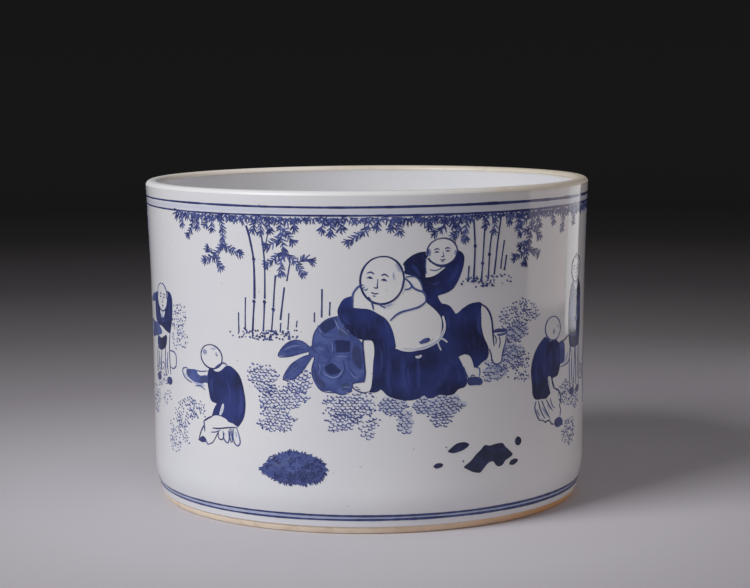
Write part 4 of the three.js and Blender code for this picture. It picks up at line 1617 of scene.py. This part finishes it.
watcher = {
    "fills": [
        ("robe", 2, [(107.6, 94), (105, 91.6), (103.4, 87), (102.8, 80), (103.2, 72.4), (104.6, 67.2),
            (108, 66), (113, 65.6), (117.6, 66.4), (119.4, 71), (119.8, 79), (119.4, 87), (117.6, 92),
            (114, 94.6), (111, 95)]),
        ("sack", 3, [(104.6, 86.4), (107.6, 85.8), (109.6, 81.6), (110.6, 77.6), (108.4, 76),
            (105.6, 78), (103, 82)]),
        ("sack", 3, [(118.4, 87), (115.6, 86), (113.4, 81.6), (112.2, 77.6), (114.2, 76), (117.4, 78),
            (119.6, 82)]),
        ("line", 4, [(104.8, 48.6), (108.8, 49.4), (110.4, 47.8), (108.8, 46.4), (104.8, 46.6)]),
        ("line", 4, [(113.2, 48.4), (117.2, 49.4), (119, 47.8), (117.4, 46.2), (113.2, 46.4)]),
    ],
    "folds": [
        (2.2, 0.6, [(106.4, 74), (106, 70), (107.4, 67)]),
        (2.4, 0.5, [(115.6, 75), (116, 70), (114.6, 67)]),
    ],
    "washes": [
        (1.6, 0.8, 4, [(108.6, 93.6), (111.4, 90.4), (114.4, 93.6)]),
        (3, 0.8, 1, [(107.4, 64), (107, 56), (107.4, 50)]),
        (3, 0.85, 1, [(115.4, 64), (116, 56), (115.6, 50)]),
    ],
    "lines": [
        (0.5, [(104.8, 66.4), (104.2, 58), (105, 49.6)]),
        (0.5, [(111.2, 65.6), (110.6, 58), (109.6, 49.6)]),
        (0.5, [(112.2, 65.6), (112.8, 58), (113.4, 49.4)]),
        (0.5, [(118.2, 66.6), (119, 58), (118, 49.4)]),
        (0.4, [(107.6, 65), (107, 59), (107.4, 52)]),
        (0.4, [(115.4, 65), (116, 59), (115.8, 52)]),
        (0.5, [(110.4, 78.6), (111.4, 76.4), (112.4, 78.6)]),
        (0.45, [(103.4, 72), (108, 71), (114, 70.8), (119.4, 72)]),
    ],
    "heads": [{
        "centre": (111.4, 98.6),
        "radii": (5.9, 5.5),
        "tilt": 0,
        "turn": -0.1,
        "width": 0.6,
        "tufts": [
            ((106, 99.6), (1, 1.6), 0.2),
            ((116.8, 99.6), (1, 1.6), 0.2),
            ((111.4, 103), (1.8, 0.8), 0.5),
        ],
    }],
    "dots": [
        (0.5, 1.3, 0, (111.4, 104.6)),
    ],
}
sack("sack", 52, **sackBundle)
drawn("climber", 53, **climber)
drawn("recliner", 51, **recliner)
drawn("croucher", 54, **croucher)
drawn("bender", 55, **bender)
drawn("stroller", 56, **stroller)
drawn("watcher", 57, **watcher)
drawn("croucherBack", 58, **croucher, about=(-68, 50), at=(150, 55), flip=-1)
drawn("benderBack", 59, **bender, about=(88, 56), at=(193, 64))
drawn("watcherBack", 60, **watcher, about=(111, 76), at=(315, 72))
drawn("croucherFar", 61, **croucher, about=(-68, 50), at=(265, 50))
drawn("strollerBack", 62, **stroller, about=(-110, 74), at=(385, 66), flip=-1)
drawn("benderFar", 63, **bender, about=(88, 56), at=(432, 60), flip=-1)
print("figures painted")

studio = {
    "lens": 94.24,
    "sensor": 36,
    "camera": (0.0031, -0.848, 0.1854),
    "pitch": 0.118,
    "roll": -0.008,
    "aim": (0, 0, 0.07),  # every light points here
    "surround": (0.10, 0.10, 0.11),
}
paper = {
    "flat": 1.7,  # radius of the floor before it sweeps up
    "sweep": 0.9,
    "height": 2.2,
    "rings": (0, 0.3, 0.8),
    "segments": 96,
    "reach": 3,  # where the last of the stops lies, outwards and upwards
    # painted light: the paper's colour, pale where light pools under the pot and dark far off
    "stops": [
        (0.0, (0.56, 0.54, 0.58)),
        (0.05, (0.52, 0.50, 0.54)),
        (0.10, (0.33, 0.31, 0.34)),
        (0.17, (0.20, 0.19, 0.20)),
        (0.27, (0.11, 0.10, 0.11)),
        (0.42, (0.05, 0.047, 0.047)),
        (0.70, (0.043, 0.043, 0.041)),
        (1.0, (0.034, 0.034, 0.034)),
    ],
}
warm = (1, 0.86, 0.79)
# azimuth 0 is on the camera's side, and 90 to its right
lights = {
    "key": {"azimuth": -52, "distance": 1.15, "height": 0.95, "size": (0.7, 0.7), "power": 19},
    "fill": {"azimuth": 20, "distance": 1.4, "height": 0.7, "size": (0.9, 0.9), "power": 2.6},
    "side": {"azimuth": 82, "distance": 1.5, "height": 0.85, "size": (1.8, 1.6), "power": 2.7,
             "colour": warm},
    # this one lifts the dark side without showing in the glaze
    "low": {"azimuth": 86, "distance": 1.6, "height": 0.35, "size": (1.4, 0.6), "power": 2.4, "colour": warm,
            "glossy": False},
    "card": {"azimuth": 126, "distance": 0.5, "height": 0.15, "size": (0.15, 0.3), "power": 0.185},
    # and this one only shows in the glaze, beside the card
    "panel": {"azimuth": 102, "distance": 0.6, "height": 0.17, "size": (0.38, 0.34), "power": 0.41,
              "colour": (1, 0.87, 0.81), "diffuse": False},
}


def camera():
    data = bpy.data.cameras.new("camera")
    data.lens = studio["lens"]
    data.sensor_width = studio["sensor"]
    data.clip_start = 0.01
    view = bpy.data.objects.new("camera", data)
    view.location = studio["camera"]
    turn = Euler((pi / 2 - studio["pitch"], 0, 0)).to_matrix() @ Matrix.Rotation(studio["roll"], 3, "Z")
    view.rotation_euler = turn.to_euler()
    bpy.context.scene.collection.objects.link(view)
    bpy.context.scene.camera = view


def paintedLightBackdrop():
    # painted light: a pale pool of light painted on the paper under the pot, falling away to painted dark
    # all round
    shader = Shader("backdrop")
    parts = shader.parts(shader.place())
    reach = (parts[0] * parts[0] + parts[1] * parts[1]) ** 0.5
    share = (reach + parts[2]) / paper["reach"]
    colour = shader.add("ValToRGB", {"stops": paper["stops"]}, {0: share})
    return shader.finish(colour, 0.9, Specular_IOR_Level=0.1)


def backdrop():
    mesh = bmesh.new()
    flat, sweep = paper["flat"], paper["sweep"]
    rise = arc((flat, sweep), sweep, -pi / 2, 0, 16)
    profile = [*[(r, 0) for r in paper["rings"]], *rise, (flat + sweep, paper["height"])]
    ring = [mesh.verts.new((r, 0, z)) for r, z in profile]
    edges = [mesh.edges.new(pair) for pair in zip(ring, ring[1:])]
    bmesh.ops.spin(mesh, geom=ring + edges, cent=(0, 0, 0), axis=(0, 0, 1), angle=2 * pi,
                   steps=paper["segments"], use_merge=True)
    bmesh.ops.remove_doubles(mesh, verts=mesh.verts, dist=1e-6)
    bmesh.ops.recalc_face_normals(mesh, faces=mesh.faces)
    data = bpy.data.meshes.new("backdrop")
    mesh.to_mesh(data)
    mesh.free()
    data.materials.append(paintedLightBackdrop())
    data.shade_smooth()
    sheet = bpy.data.objects.new("backdrop", data)
    bpy.context.scene.collection.objects.link(sheet)


def softbox(name, azimuth, distance, height, size, power, colour=(1, 1, 1), glossy=True, diffuse=True):
    data = bpy.data.lights.new(name, "AREA")
    data.shape = "RECTANGLE"
    data.size, data.size_y = size
    data.energy = power
    data.color = colour
    light = bpy.data.objects.new(name, data)
    turn = radians(azimuth)
    light.location = (distance * sin(turn), -distance * cos(turn), height)
    light.rotation_euler = (Vector(studio["aim"]) - light.location).to_track_quat("-Z", "Y").to_euler()
    light.visible_camera = False
    light.visible_glossy = glossy
    light.visible_diffuse = diffuse
    bpy.context.scene.collection.objects.link(light)


camera()
backdrop()
for name, light in lights.items():
    softbox(name, **light)
world = bpy.data.worlds.new("studio")
world.use_nodes = True
world.node_tree.nodes["Background"].inputs["Color"].default_value = (*studio["surround"], 1)
bpy.context.scene.world = world
bpy.context.scene.view_settings.view_transform = "Standard"
print("studio set")
